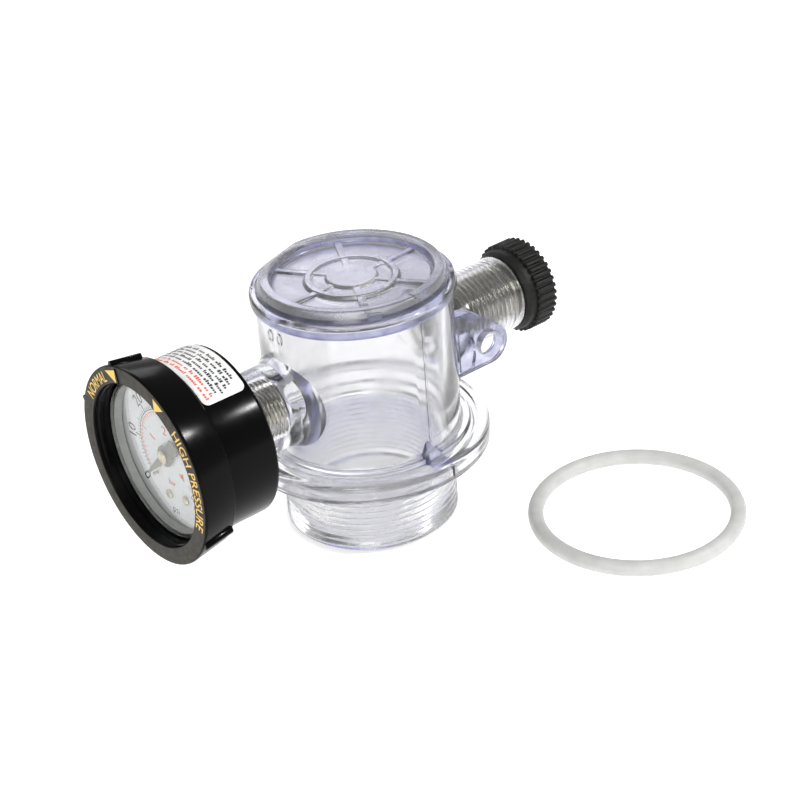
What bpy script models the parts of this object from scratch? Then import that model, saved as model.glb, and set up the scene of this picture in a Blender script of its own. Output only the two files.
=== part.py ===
"""Clear gauge-and-air-relief head of a cartridge filter housing.

A moulded clear barrel stands on a two-inch threaded neck. A pressure gauge with a turning
bezel screws into the boss on one side, and an air relief valve into the boss opposite.
The loose ring that seals the flange lies beside it. +Z is up, and both ports run along
X, with the gauge at -X and the valve at +X.
"""
import math

import bmesh
import bpy
from mathutils import Vector

MM = 0.001

# Driving dimensions, in millimetres. Heights are above the foot of the neck, and port
# stations are distances along X from the barrel's axis.
NECK_R = 29.6
NECK_BORE_R = 25.5
FLANGE_R = 42.6
FLANGE_BOTTOM_Z = 27.2
FLANGE_TOP_Z = 34.6
BARREL_R = 32.9
BARREL_BORE_R = 29.5
RIM_R = 34.4
RIM_BOTTOM_Z = 84.6
RIM_TOP_Z = 88.5
GAUGE_Z = 56.0
VALVE_Z = 59.0

CAP_SEAT_R = 32.3
CAP_SEAT_Z = 86.2
CAP_TOP_Z = 92.4
CAP_FLOOR_Z = 88.9
CAP_RING_R = 31.2
CAP_FLOOR_R = 26.8
CAP_FLAT_DISTANCE = 28.7
CAP_FLAT_ANGLE = 109.0

GAUGE_BOSS_R = 14.5
GAUGE_BOSS_X = -53.0
GAUGE_BORE_R = 6.9
VALVE_BOSS_R = 13.7
VALVE_BOSS_X = 63.6
VALVE_BORE_R = 9.2
VALVE_BORE_X = 40.0
SEAT_BORE_R = 6.5
SEAT_X = 31.3
VENT_R = 2.2

LUG_FRONT_Y = -17.7
LUG_BACK_Y = -13.2
LUG_EYE_X = 43.6
LUG_EYE_Z = 53.0
LUG_EYE_R = 4.75
LUG_END_R = 7.4

CASE_BACK_X = -55.9
CASE_FRONT_X = -84.0
CASE_R = 29.3
CASE_LEDGE_X = -76.5
CASE_BORE_R = 25.8
CASE_MOUTH_R = 27.9
BEZEL_REAR_X = -75.2
BEZEL_FACE_X = -88.0
BEZEL_REAR_R = 32.3
BEZEL_FACE_R = 34.0
BEZEL_OPENING_R = 27.75
BEZEL_GRIP_R = 35.3
GRIP_CLOCKS = (-70.0, -20.0, 119.0)

DIAL_X = -77.4
DIAL_R = 26.2
DIAL_THICKNESS = 0.6
LENS_FACE_X = -82.2
REST_CLOCK = -133.0
SECTOR_CENTRE = 14.4
PINION_TEETH = 10
GEAR_RATIO = 8
TAIL_LENGTH = 7.0

STEM_THREAD_R = 8.8
KNOB_REAR_X = 64.3
KNOB_RIM_X = 68.0
KNOB_END_X = 76.2
KNOB_COLLAR_R = 14.6
KNOB_TOOTH_R = 16.3
KNOB_ROOT_R = 15.3
KNOB_TEETH = 36

RING_R = 34.15
RING_SECTION_R = 2.665
RING_CENTRE = (58.1, -71.3)

GAP = 0.3
# Round cutters are turned this far, so that no facet of theirs lines up with one they cut.
OFF_GRID = 3.7

# The whole part is centred on the world's Z axis.
SHIFT_X = -(BEZEL_FACE_X + RING_CENTRE[0] + RING_R + RING_SECTION_R) / 2
SHIFT_Y = -(RING_CENTRE[1] - RING_R - RING_SECTION_R + FLANGE_R) / 2


def clear_scene():
    for thing in list(bpy.data.objects):
        bpy.data.objects.remove(thing)


def collection(name):
    made = bpy.data.collections.new(name)
    bpy.context.scene.collection.children.link(made)
    return made


clear_scene()
PARTS = collection("filter_gauge_head")
CUTTERS = collection("cutters")


def material(name, colour, roughness, metallic=0.0, transmission=0.0):
    made = bpy.data.materials.new(name)
    made.use_nodes = True
    shader = made.node_tree.nodes["Principled BSDF"]
    shader.inputs["Base Color"].default_value = (*colour, 1.0)
    shader.inputs["Roughness"].default_value = roughness
    shader.inputs["Metallic"].default_value = metallic
    shader.inputs["Transmission Weight"].default_value = transmission
    made.diffuse_color = (*colour, 1.0)
    return made


MATERIALS = {
    "clear": material("clear_polycarbonate", (0.86, 0.86, 0.92), 0.04, transmission=1.0),
    "lens": material("clear_lens", (0.92, 0.94, 0.94), 0.03, transmission=1.0),
    "black": material("black_plastic", (0.012, 0.012, 0.012), 0.3),
    "knob": material("matt_black_plastic", (0.02, 0.02, 0.02), 0.6),
    "brass": material("brass", (0.55, 0.43, 0.2), 0.3, metallic=1.0),
    "bronze": material("phosphor_bronze", (0.6, 0.36, 0.18), 0.3, metallic=1.0),
    "steel": material("steel", (0.55, 0.55, 0.56), 0.3, metallic=1.0),
    "white": material("white_silicone", (0.75, 0.75, 0.72), 0.5),
    "rubber": material("black_rubber", (0.015, 0.015, 0.015), 0.7),
    "dial": material("white_dial", (0.8, 0.8, 0.78), 0.5),
    "label": material("white_label", (0.85, 0.85, 0.84), 0.4),
    "pointer": material("pointer_paint", (0.2, 0.19, 0.13), 0.5),
}


def empty(name, location, rotation=(0.0, 0.0, 0.0)):
    made = bpy.data.objects.new(name, None)
    made.location = [value * MM for value in location]
    made.rotation_euler = [math.radians(value) for value in rotation]
    PARTS.objects.link(made)
    return made


# Everything turned about a port's axis is modelled about its own Z axis, which the
# parent turns to the world's +X. Its own -X is then up.
BODY_AXIS = empty("body_axis", (SHIFT_X, SHIFT_Y, 0.0))
GAUGE_AXIS = empty("gauge_axis", (SHIFT_X, SHIFT_Y, GAUGE_Z), (0.0, 90.0, 0.0))
VALVE_AXIS = empty("valve_axis", (SHIFT_X, SHIFT_Y, VALVE_Z), (0.0, 90.0, 0.0))
# The lug's XY plane is the world's XZ plane, with its own Z towards -Y.
LUG_FRAME = empty("lug_frame", (SHIFT_X, SHIFT_Y, 0.0), (90.0, 0.0, 0.0))


def on_clock(clock, radius):
    """A point beside a port's axis, at an angle clockwise from the top seen from the gauge's face."""
    angle = math.radians(clock)
    return (-radius * math.cos(angle), -radius * math.sin(angle))


def add(name, mesh, parent, slot=None, at=(0.0, 0.0, 0.0), turn=0.0):
    made = bpy.data.objects.new(name, mesh)
    made.parent = parent
    made.location = [value * MM for value in at]
    made.rotation_euler[2] = math.radians(turn)
    if slot is None:
        CUTTERS.objects.link(made)
        made.hide_render = True
        made.display_type = "WIRE"
    else:
        PARTS.objects.link(made)
        mesh.materials.append(MATERIALS[slot])
    return made


def mesh_from(name, bm):
    mesh = bpy.data.meshes.new(name)
    bm.to_mesh(mesh)
    bm.free()
    return mesh


def turned(name, profile, steps, parent, slot=None, at=(0.0, 0.0, 0.0), turn=0.0):
    """A closed (radius, height) profile in millimetres, turned a full circle about Z."""
    bm = bmesh.new()
    corners = [bm.verts.new((radius * MM, 0.0, height * MM)) for radius, height in profile]
    for first, second in zip(corners, corners[1:]):
        bm.edges.new((first, second))
    if profile[0][0] > 0.0:
        bm.edges.new((corners[-1], corners[0]))
    made = add(name, mesh_from(name, bm), parent, slot, at, turn)
    screw = made.modifiers.new("turn", "SCREW")
    screw.steps = steps
    screw.render_steps = steps
    screw.use_merge_vertices = True
    screw.merge_threshold = 0.000001
    screw.use_smooth_shade = True
    return made


def rod(name, radius, low, high, parent, slot=None, at=(0.0, 0.0), steps=24, turn=0.0):
    profile = [(0.0, high), (radius, high), (radius, low), (0.0, low)]
    return turned(name, profile, steps, parent, slot, (at[0], at[1], 0.0), turn)


def tube(name, outer, inner, low, high, parent, slot=None, at=(0.0, 0.0), steps=24):
    profile = [(outer, high), (outer, low), (inner, low), (inner, high)]
    return turned(name, profile, steps, parent, slot, (at[0], at[1], 0.0))


def box(name, low, high, parent, slot=None, at=(0.0, 0.0, 0.0), turn=0.0):
    bm = bmesh.new()
    bmesh.ops.create_cube(bm, size=1.0)
    size = [(b - a) * MM for a, b in zip(low, high)]
    middle = [(b + a) / 2 * MM for a, b in zip(low, high)]
    bmesh.ops.scale(bm, vec=size, verts=bm.verts)
    bmesh.ops.translate(bm, vec=middle, verts=bm.verts)
    return add(name, mesh_from(name, bm), parent, slot, at, turn)


def as_mesh(curve_object, name, slot=None):
    """A curve's solid as a welded mesh object in the curve's place."""
    bpy.context.view_layer.update()
    evaluated = curve_object.evaluated_get(bpy.context.evaluated_depsgraph_get())
    mesh = bpy.data.meshes.new_from_object(evaluated)
    mesh.materials.clear()
    bm = bmesh.new()
    bm.from_mesh(mesh)
    bmesh.ops.remove_doubles(bm, verts=bm.verts, dist=0.000001)
    bmesh.ops.recalc_face_normals(bm, faces=bm.faces)
    bm.to_mesh(mesh)
    bm.free()
    parent = curve_object.parent
    place = curve_object.matrix_basis.copy()
    bpy.data.objects.remove(curve_object)
    made = add(name, mesh, parent, slot)
    made.matrix_basis = place
    return made


def plate(name, outline, low, high, parent, slot=None, at=(0.0, 0.0), turn=0.0):
    """A flat outline in the parent's XY plane, from one height to another."""
    curve = bpy.data.curves.new(name, "CURVE")
    curve.dimensions = "2D"
    curve.fill_mode = "BOTH"
    curve.extrude = (high - low) / 2 * MM
    spline = curve.splines.new("POLY")
    spline.points.add(len(outline) - 1)
    for point, (x, y) in zip(spline.points, outline):
        point.co = (x * MM, y * MM, 0.0, 1.0)
    spline.use_cyclic_u = True
    draft = bpy.data.objects.new(name + "_outline", curve)
    CUTTERS.objects.link(draft)
    draft.parent = parent
    draft.location = (at[0] * MM, at[1] * MM, (low + high) / 2 * MM)
    draft.rotation_euler[2] = math.radians(turn)
    return as_mesh(draft, name, slot)


def arc(centre, radius, start, end, count):
    """Points round an arc, with its angles in degrees."""
    points = []
    for step in range(count + 1):
        angle = math.radians(start + (end - start) * step / count)
        points.append((centre[0] + radius * math.cos(angle), centre[1] + radius * math.sin(angle)))
    return points


def combine(target, tools, operation):
    """One Boolean for all the tools, which works on them together."""
    group = bpy.data.collections.new(f"{target.name}_{operation.lower()}")
    CUTTERS.children.link(group)
    for tool in tools:
        CUTTERS.objects.unlink(tool)
        group.objects.link(tool)
    change = target.modifiers.new(group.name, "BOOLEAN")
    change.operation = operation
    change.solver = "EXACT"
    change.operand_type = "COLLECTION"
    change.collection = group


def join(target, *tools):
    combine(target, tools, "UNION")


def cut(target, *tools):
    combine(target, tools, "DIFFERENCE")


BODY_STEPS = 56
CASE_STEPS = 56


def clear_body():
    outside = [
        (0.0, RIM_TOP_Z), (RIM_R - 0.5, RIM_TOP_Z), (RIM_R, RIM_TOP_Z - 0.5), (RIM_R, RIM_BOTTOM_Z + 0.8),
        (RIM_R - 0.6, RIM_BOTTOM_Z), (BARREL_R, RIM_BOTTOM_Z - 0.4), (BARREL_R, FLANGE_TOP_Z + 2.4),
        (BARREL_R + 0.8, FLANGE_TOP_Z + 0.9), (BARREL_R + 2.6, FLANGE_TOP_Z + 0.4),
        (FLANGE_R - 2.4, FLANGE_TOP_Z - 0.2), (FLANGE_R - 0.6, FLANGE_TOP_Z - 1.2), (FLANGE_R,
                                                                                     FLANGE_TOP_Z - 2.6),
        (FLANGE_R, FLANGE_BOTTOM_Z + 0.9), (FLANGE_R - 0.9, FLANGE_BOTTOM_Z), (NECK_R + 7.6,
                                                                               FLANGE_BOTTOM_Z),
        (NECK_R + 7.6, FLANGE_BOTTOM_Z + 2.6), (NECK_R + 1.4, FLANGE_BOTTOM_Z + 2.6),
        (NECK_R + 1.4, FLANGE_BOTTOM_Z), (NECK_R, FLANGE_BOTTOM_Z), (NECK_R, 0.8), (NECK_R - 0.8,
                                                                                    0.0), (0.0, 0.0),
    ]
    body = turned("clear_body", outside, BODY_STEPS, BODY_AXIS, "clear")
    gauge_boss = rod("gauge_boss", GAUGE_BOSS_R, GAUGE_BOSS_X, -20.0, GAUGE_AXIS, steps=40)
    valve_boss = rod("valve_boss", VALVE_BOSS_R, 20.0, VALVE_BOSS_X, VALVE_AXIS, steps=40)
    join(body, gauge_boss, valve_boss, lug())
    inside = [
        (0.0, RIM_TOP_Z + 2.0), (CAP_SEAT_R, RIM_TOP_Z + 2.0), (CAP_SEAT_R, CAP_SEAT_Z), (BARREL_BORE_R,
                                                                                          CAP_SEAT_Z),
        (BARREL_BORE_R, 31.5), (NECK_BORE_R, 27.0), (NECK_BORE_R, -2.0), (0.0, -2.0),
    ]
    hollow = turned("barrel_hollow", inside, BODY_STEPS, BODY_AXIS)
    gauge_bore = rod("gauge_bore", GAUGE_BORE_R, GAUGE_BOSS_X - 2.0, -22.0, GAUGE_AXIS, steps=32,
                     turn=OFF_GRID)
    valve_bore = rod("valve_bore", VALVE_BORE_R, VALVE_BORE_X, VALVE_BOSS_X + 2.0, VALVE_AXIS, steps=30,
                     turn=OFF_GRID)
    seat_bore = rod("seat_bore", SEAT_BORE_R, SEAT_X, VALVE_BORE_X + 1.0, VALVE_AXIS, steps=26,
                    turn=OFF_GRID)
    vent = rod("vent", VENT_R, 22.0, SEAT_X + 1.0, VALVE_AXIS, steps=14, turn=OFF_GRID)
    cut(body, hollow, gauge_bore, valve_bore, seat_bore, vent, lug_eye())
    return body


def lug():
    foot_z = LUG_EYE_Z - LUG_END_R
    outline = [(25.0, foot_z)]
    outline += arc((LUG_EYE_X, LUG_EYE_Z), LUG_END_R, -90.0, 68.0, 10)
    outline += [(37.6, 67.0), (34.4, 69.0), (25.0, 70.0)]
    return plate("lug_plate", outline, -LUG_BACK_Y, -LUG_FRONT_Y, LUG_FRAME)


def lug_eye():
    return rod("lug_eye", LUG_EYE_R, -LUG_BACK_Y - 0.4, -LUG_FRONT_Y + 2.0, LUG_FRAME,
               at=(LUG_EYE_X, LUG_EYE_Z), steps=20, turn=OFF_GRID)


def top_cap():
    shape = [
        (0.0, CAP_FLOOR_Z + 1.4), (8.2, CAP_FLOOR_Z + 1.4), (8.6, CAP_FLOOR_Z + 0.5), (13.2,
                                                                                       CAP_FLOOR_Z + 0.5),
        (13.6, CAP_FLOOR_Z + 1.2), (15.6, CAP_FLOOR_Z + 1.2), (16.0, CAP_FLOOR_Z), (CAP_FLOOR_R,
                                                                                    CAP_FLOOR_Z),
        (CAP_FLOOR_R + 0.5, CAP_TOP_Z), (CAP_RING_R - 0.7, CAP_TOP_Z), (CAP_RING_R, CAP_TOP_Z - 0.7),
        (CAP_RING_R + 0.4, RIM_TOP_Z + 0.8), (CAP_SEAT_R - GAP, RIM_TOP_Z + 0.4),
        (CAP_SEAT_R - GAP, CAP_SEAT_Z + GAP), (0.0, CAP_SEAT_Z + GAP),
    ]
    cap = turned("top_cap", shape, BODY_STEPS, BODY_AXIS, "clear")
    flat = box("cap_flat", (CAP_FLAT_DISTANCE, -40.0, RIM_TOP_Z + 0.5), (50.0, 40.0, CAP_TOP_Z + 2.0),
               BODY_AXIS, turn=CAP_FLAT_ANGLE)
    ribs = [box(f"cap_rib_{index}", (-CAP_FLOOR_R - 0.2, -1.4, CAP_FLOOR_Z - 0.5),
                (CAP_FLOOR_R + 0.2, 1.4, CAP_FLOOR_Z + 0.9), BODY_AXIS, turn=60.0 * index + 2.0)
            for index in range(3)]
    join(cap, *ribs)
    cut(cap, flat)
    return cap


def flange_ring():
    bpy.ops.mesh.primitive_torus_add(major_radius=RING_R * MM, minor_radius=RING_SECTION_R * MM,
                                     major_segments=60, minor_segments=12)
    made = bpy.context.active_object
    made.name = "flange_o_ring"
    for owner in list(made.users_collection):
        owner.objects.unlink(made)
    PARTS.objects.link(made)
    made.parent = BODY_AXIS
    made.location = (RING_CENTRE[0] * MM, RING_CENTRE[1] * MM, RING_SECTION_R * MM)
    made.data.materials.append(MATERIALS["white"])
    return made


HEX_X = (-55.6, -53.3)
BLOCK_X = (-67.0, -59.0)
CASE_SCREW_REACH = 10.4


def gauge_socket():
    stem = [
        (0.0, -36.0), (5.4, -36.0), (6.4, -38.0), (6.5, HEX_X[1] - 0.1), (5.0, HEX_X[1] - 0.1),
        (5.0, BLOCK_X[1] - 1.0), (0.0, BLOCK_X[1] - 1.0),
    ]
    socket = turned("gauge_socket", stem, 24, GAUGE_AXIS, "brass")
    hexagon = rod("socket_hexagon", 8.1, HEX_X[0], HEX_X[1], GAUGE_AXIS, steps=6)
    upright = box("socket_upright", (-6.0, -5.5, BLOCK_X[0]), (21.0, 5.5, BLOCK_X[1]), GAUGE_AXIS)
    ears = box("socket_ears", (-4.0, -13.2, BLOCK_X[0] + 3.0), (4.0, 13.2, BLOCK_X[1] - 0.4), GAUGE_AXIS)
    join(socket, hexagon, upright, ears)
    holes = [rod("socket_passage", 1.4, -63.0, -30.0, GAUGE_AXIS, steps=12, turn=OFF_GRID)]
    for side in (-1, 1):
        holes.append(rod(f"socket_hole_{side}", 1.5, -63.2, -57.0, GAUGE_AXIS,
                         at=(0.0, side * CASE_SCREW_REACH), steps=10, turn=OFF_GRID))
    cut(socket, *holes)
    return socket


def gauge_case():
    shape = [
        (5.3, CASE_BACK_X), (CASE_R - 1.2, CASE_BACK_X), (CASE_R - 0.3, CASE_BACK_X - 0.4),
        (CASE_R, CASE_BACK_X - 1.3),
        (CASE_R, CASE_FRONT_X), (CASE_MOUTH_R, CASE_FRONT_X), (CASE_MOUTH_R, CASE_LEDGE_X),
        (CASE_BORE_R, CASE_LEDGE_X), (CASE_BORE_R, CASE_BACK_X - 2.0), (5.3, CASE_BACK_X - 2.0),
    ]
    case = turned("gauge_case", shape, CASE_STEPS, GAUGE_AXIS, "black")
    holes = [rod(f"case_hole_{side}", 1.5, CASE_BACK_X - 4.0, CASE_BACK_X + 2.0, GAUGE_AXIS,
                 at=(0.0, side * CASE_SCREW_REACH), steps=10) for side in (-1, 1)]
    cut(case, *holes)
    return case


def case_screw(name, side):
    head = CASE_BACK_X + GAP
    shape = [
        (0.0, head + 1.2), (1.6, head + 1.2), (2.4, head + 0.5), (2.4, head), (1.15, head),
        (1.15, -62.6), (0.0, -62.6),
    ]
    made = turned(name, shape, 14, GAUGE_AXIS, "steel", (0.0, side * CASE_SCREW_REACH, 0.0))
    slot = box(name + "_slot", (-3.0, -0.3, head + 0.7), (3.0, 0.3, head + 2.0), GAUGE_AXIS,
               at=(0.0, side * CASE_SCREW_REACH, 0.0), turn=30.0 * side)
    cut(made, slot)
    return made


TUBE_R = 19.5
TUBE_START_CLOCK = 199.2
TUBE_END_CLOCK = 400.0
TUBE_X = -63.0


def bourdon_tube():
    curve = bpy.data.curves.new("bourdon_spine", "CURVE")
    curve.dimensions = "3D"
    curve.bevel_depth = 1.4 * MM
    curve.bevel_resolution = 2
    curve.use_fill_caps = True
    spline = curve.splines.new("POLY")
    count = 30
    spline.points.add(count - 1)
    for index, point in enumerate(spline.points):
        clock = TUBE_START_CLOCK + (TUBE_END_CLOCK - TUBE_START_CLOCK) * index / (count - 1)
        x, y = on_clock(clock, TUBE_R)
        point.co = (x * MM, y * MM, 0.0, 1.0)
    draft = bpy.data.objects.new("bourdon_spine", curve)
    CUTTERS.objects.link(draft)
    draft.parent = GAUGE_AXIS
    draft.location[2] = TUBE_X * MM
    draft.scale = (1.0, 1.0, 2.0)
    return as_mesh(draft, "bourdon_tube", "bronze")


def tube_tip():
    """The block on the tube's free end, with an ear that reaches forward to the link."""
    clock = TUBE_END_CLOCK + 6.2
    angle = 180.0 + clock
    tip = box("tube_tip", (TUBE_R - 1.9, -1.6, TUBE_X - 3.2), (TUBE_R + 1.9, 1.6, TUBE_X + 3.2),
              GAUGE_AXIS, "brass", turn=angle)
    ear = box("tube_tip_ear", (TUBE_R - 1.2, -1.2, LINK_X[1] + GAP), (TUBE_R + 1.2, 1.2, TUBE_X - 3.0),
              GAUGE_AXIS, turn=angle)
    join(tip, ear)
    return tip


BACK_PLATE_X = (-69.2, -68.2)
FRONT_PLATE_X = (-75.2, -74.2)
SECTOR_X = (-71.7, -70.5)
LINK_X = (-72.8, -72.0)
SECTOR_CLOCK = 90.0
PILLAR_CLOCKS = {"movement_pillar_upper": -20.0, "movement_pillar_lower": 200.0}
PILLAR_REACH = 8.0
ARBOR_R = 0.7
PIVOT_R = 0.9
DIAL_SCREW_CLOCKS = {"dial_screw_left": 188.0, "dial_screw_right": 152.0}
DIAL_SCREW_REACH = 15.7


def movement_plate(name, station, reach, more_holes=()):
    made = box(name, (-reach, -17.6, station[0]), (reach, 7.0, station[1]), GAUGE_AXIS, "brass")
    holes = list(more_holes) + [rod(name + "_arbor_hole", ARBOR_R + 0.2, station[0] - 1, station[1] + 1,
                                    GAUGE_AXIS, steps=12)]
    pivot = on_clock(SECTOR_CLOCK, SECTOR_CENTRE)
    holes.append(rod(name + "_pivot_hole", PIVOT_R + 0.1, station[0] - 1, station[1] + 1, GAUGE_AXIS,
                     at=pivot, steps=12))
    cut(made, *holes)
    return made


def movement_front_plate():
    holes = [rod(name + "_hole", 1.0, FRONT_PLATE_X[0] - 1, FRONT_PLATE_X[1] + 1, GAUGE_AXIS,
                 at=on_clock(clock,
                             DIAL_SCREW_REACH), steps=10) for name, clock in DIAL_SCREW_CLOCKS.items()]
    return movement_plate("movement_front_plate", FRONT_PLATE_X, 18.6, holes)


def movement_pillars():
    for name, clock in PILLAR_CLOCKS.items():
        rod(name, 1.6, FRONT_PLATE_X[1] + GAP, BACK_PLATE_X[0] - GAP, GAUGE_AXIS, "brass",
            at=on_clock(clock, PILLAR_REACH), steps=12)


PINION_PITCH_R = SECTOR_CENTRE / (GEAR_RATIO + 1)
SECTOR_PITCH_R = SECTOR_CENTRE - PINION_PITCH_R
TOOTH_RISE = 0.2


def tooth_outline(root, tip, first, count, pitch, share=0.34):
    """Corners of a run of straight-sided teeth, each centred on a multiple of the pitch angle."""
    points = []
    for index in range(count):
        centre = first + index * pitch
        for offset, radius in ((-share, root), (-share * 0.55, tip), (share * 0.55, tip), (share, root)):
            angle = math.radians(centre + offset * pitch)
            points.append((radius * math.cos(angle), radius * math.sin(angle)))
    return points


def sector_gear():
    """A toothed sector on its pivot, with a tail that the link drives."""
    pitch = 360.0 / (PINION_TEETH * GEAR_RATIO)
    root = SECTOR_PITCH_R - 0.45
    tip = SECTOR_PITCH_R + TOOTH_RISE
    # The sector's own +X points at the pinion, and it has swung through none of its travel.
    teeth = tooth_outline(root, tip, -2.5 * pitch, 13, pitch)
    hub = arc((0.0, 0.0), 2.2, teeth_end_angle(teeth) + 50.0, 150.0, 3)
    tail_end = arc((-TAIL_LENGTH, 0.0), 1.5, 110.0, 250.0, 5)
    low_hub = arc((0.0, 0.0), 2.2, 210.0, 300.0, 3)
    outline = teeth + hub + tail_end + low_hub
    centre = on_clock(SECTOR_CLOCK, SECTOR_CENTRE)
    made = plate("sector_gear", outline, SECTOR_X[0], SECTOR_X[1], GAUGE_AXIS, "brass", at=centre,
                 turn=90.0)
    pivot = rod("sector_pivot", PIVOT_R, FRONT_PLATE_X[0] + 0.1, BACK_PLATE_X[1] - 0.1, GAUGE_AXIS,
                at=centre, steps=12)
    tail = on_clock(SECTOR_CLOCK, SECTOR_CENTRE + TAIL_LENGTH)
    pin = rod("tail_pin", 0.5, LINK_X[0] - 0.4, SECTOR_X[0] + 0.3, GAUGE_AXIS, at=tail, steps=10)
    join(made, pivot, pin)
    return made


def teeth_end_angle(points):
    x, y = points[-1]
    return math.degrees(math.atan2(y, x))


def pinion_arbor():
    """The spindle that carries the pinion and, at its front end, the pointer."""
    pitch = 360.0 / PINION_TEETH
    root = PINION_PITCH_R - 0.45
    tip = PINION_PITCH_R + TOOTH_RISE
    teeth = tooth_outline(root, tip, 90.0, PINION_TEETH, pitch)
    made = plate("pinion_arbor", teeth, SECTOR_X[0] - 0.3, SECTOR_X[1] + 0.3, GAUGE_AXIS, "brass",
                 turn=180.0)
    spindle = rod("pinion_spindle", ARBOR_R, -79.2, BACK_PLATE_X[1] - 0.1, GAUGE_AXIS, steps=12)
    join(made, spindle)
    return made


def link_bar():
    """The bar from the tube's tip to the sector's tail, open at the tip end."""
    tail = Vector(on_clock(SECTOR_CLOCK, SECTOR_CENTRE + TAIL_LENGTH))
    tip = Vector(on_clock(TUBE_END_CLOCK + 6.2, TUBE_R))
    reach = (tip - tail).length
    heading = math.degrees(math.atan2(tip.y - tail.y, tip.x - tail.x))
    outline = arc((0.0, 0.0), 1.3, 70.0, 290.0, 7) + arc((reach, 0.0), 1.3, -110.0, 110.0, 7)
    made = plate("link_bar", outline, LINK_X[0], LINK_X[1], GAUGE_AXIS, "steel", at=tail, turn=heading)
    eye = rod("link_eye", 0.65, LINK_X[0] - 1, LINK_X[1] + 1, GAUGE_AXIS, at=tail, steps=12,
              turn=OFF_GRID)
    cut(made, eye)
    return made


def hairspring():
    """A flat spiral that takes up the backlash, from near the spindle to a pillar."""
    curve = bpy.data.curves.new("hairspring_spine", "CURVE")
    curve.dimensions = "3D"
    curve.bevel_depth = 0.16 * MM
    curve.bevel_resolution = 1
    curve.use_fill_caps = True
    spline = curve.splines.new("POLY")
    turns = 3.0
    per_turn = 14
    count = int(turns * per_turn) + 1
    spline.points.add(count - 1)
    for index, point in enumerate(spline.points):
        share = index / (count - 1)
        radius = 1.5 + 4.2 * share
        angle = 2 * math.pi * turns * share
        point.co = (radius * math.cos(angle) * MM, radius * math.sin(angle) * MM, 0.0, 1.0)
    draft = bpy.data.objects.new("hairspring_spine", curve)
    CUTTERS.objects.link(draft)
    draft.parent = GAUGE_AXIS
    draft.location[2] = -73.2 * MM
    draft.scale = (1.0, 1.0, 2.0)
    return as_mesh(draft, "hairspring", "bronze")


def dial_plate():
    dial = rod("dial_plate", DIAL_R, DIAL_X, DIAL_X + DIAL_THICKNESS, GAUGE_AXIS, "dial", steps=48)
    holes = [rod(name + "_dial_hole", 1.0, DIAL_X - 1, DIAL_X + 2, GAUGE_AXIS,
                 at=on_clock(clock,
                             DIAL_SCREW_REACH), steps=10) for name, clock in DIAL_SCREW_CLOCKS.items()]
    cut(dial, rod("dial_hole", 1.6, DIAL_X - 1, DIAL_X + 2, GAUGE_AXIS, steps=14), *holes)
    return dial


def dial_screws():
    head = DIAL_X - GAP / 2
    shape = [(0.0, FRONT_PLATE_X[1] + 0.4), (0.75, FRONT_PLATE_X[1] + 0.4), (0.75, head), (1.6, head),
             (1.6, head - 0.5), (1.1, head - 0.8), (0.0, head - 0.8)]
    for name, clock in DIAL_SCREW_CLOCKS.items():
        x, y = on_clock(clock, DIAL_SCREW_REACH)
        turned(name, shape, 12, GAUGE_AXIS, "brass", (x, y, 0.0))


POINTER_X = (-79.0, -78.5)


def pointer():
    """A tapering hand with a broad tail, clear of the spindle by a press-fit gap."""
    outline = [(2.0, -1.2), (20.6, -0.45), (21.4, 0.0), (20.6, 0.45), (2.0, 1.2), (-4.0, 1.7), (-7.2,
                                                                                                2.6),
               (-8.2, 1.2), (-8.2, -1.2), (-7.2, -2.6), (-4.0, -1.7)]
    made = plate("pointer", outline, POINTER_X[0], POINTER_X[1], GAUGE_AXIS, "pointer",
                 turn=180.0 + REST_CLOCK)
    cut(made, rod("pointer_eye", ARBOR_R + 0.3, POINTER_X[0] - 1, POINTER_X[1] + 1, GAUGE_AXIS, steps=12))
    return made


def pointer_hub():
    front = POINTER_X[0] - GAP
    shape = [(0.0, front), (2.3, front), (2.3, front - 0.5), (1.5, front - 1.1), (0.0, front - 1.1)]
    return turned("pointer_hub", shape, 16, GAUGE_AXIS, "brass")


def pointer_stop_pin():
    """The pin that the hand rests on at zero, held in the dial."""
    return rod("pointer_stop_pin", 0.5, POINTER_X[0] - 0.4, DIAL_X - GAP, GAUGE_AXIS, "brass",
               at=on_clock(REST_CLOCK - 9.0, 12.0), steps=10)


def lens():
    back = DIAL_X - 0.5
    shape = [(0.0, LENS_FACE_X + 1.6), (26.6, LENS_FACE_X + 1.6), (26.6, back), (27.4, back),
             (27.4, LENS_FACE_X + 0.4), (27.0, LENS_FACE_X), (0.0, LENS_FACE_X)]
    return turned("lens", shape, CASE_STEPS, GAUGE_AXIS, "lens")


def lens_gasket():
    return tube("lens_gasket", 27.5, 26.5, DIAL_X - 0.2, CASE_LEDGE_X - 0.2, GAUGE_AXIS, "rubber",
                steps=CASE_STEPS)


def bezel_ring():
    shape = [
        (BEZEL_REAR_R - 0.5, BEZEL_REAR_X), (BEZEL_REAR_R, BEZEL_REAR_X - 0.5), (BEZEL_FACE_R,
                                                                                 BEZEL_FACE_X + 1.2),
        (BEZEL_FACE_R - 0.9, BEZEL_FACE_X), (BEZEL_OPENING_R + 0.4, BEZEL_FACE_X),
        (BEZEL_OPENING_R, BEZEL_FACE_X + 0.4), (BEZEL_OPENING_R, CASE_FRONT_X - GAP),
        (CASE_R + 0.35, CASE_FRONT_X - GAP), (CASE_R + 0.35, BEZEL_REAR_X),
    ]
    bezel = turned("bezel_ring", shape, CASE_STEPS, GAUGE_AXIS, "black")
    low = (31.0, -1.1, BEZEL_FACE_X + 0.6)
    high = (BEZEL_GRIP_R, 1.1, BEZEL_REAR_X - 0.3)
    grips = [box(f"bezel_grip_{index}", low, high, GAUGE_AXIS, turn=180.0 + clock)
             for index, clock in enumerate(GRIP_CLOCKS)]
    join(bezel, *grips)
    return bezel


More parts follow.
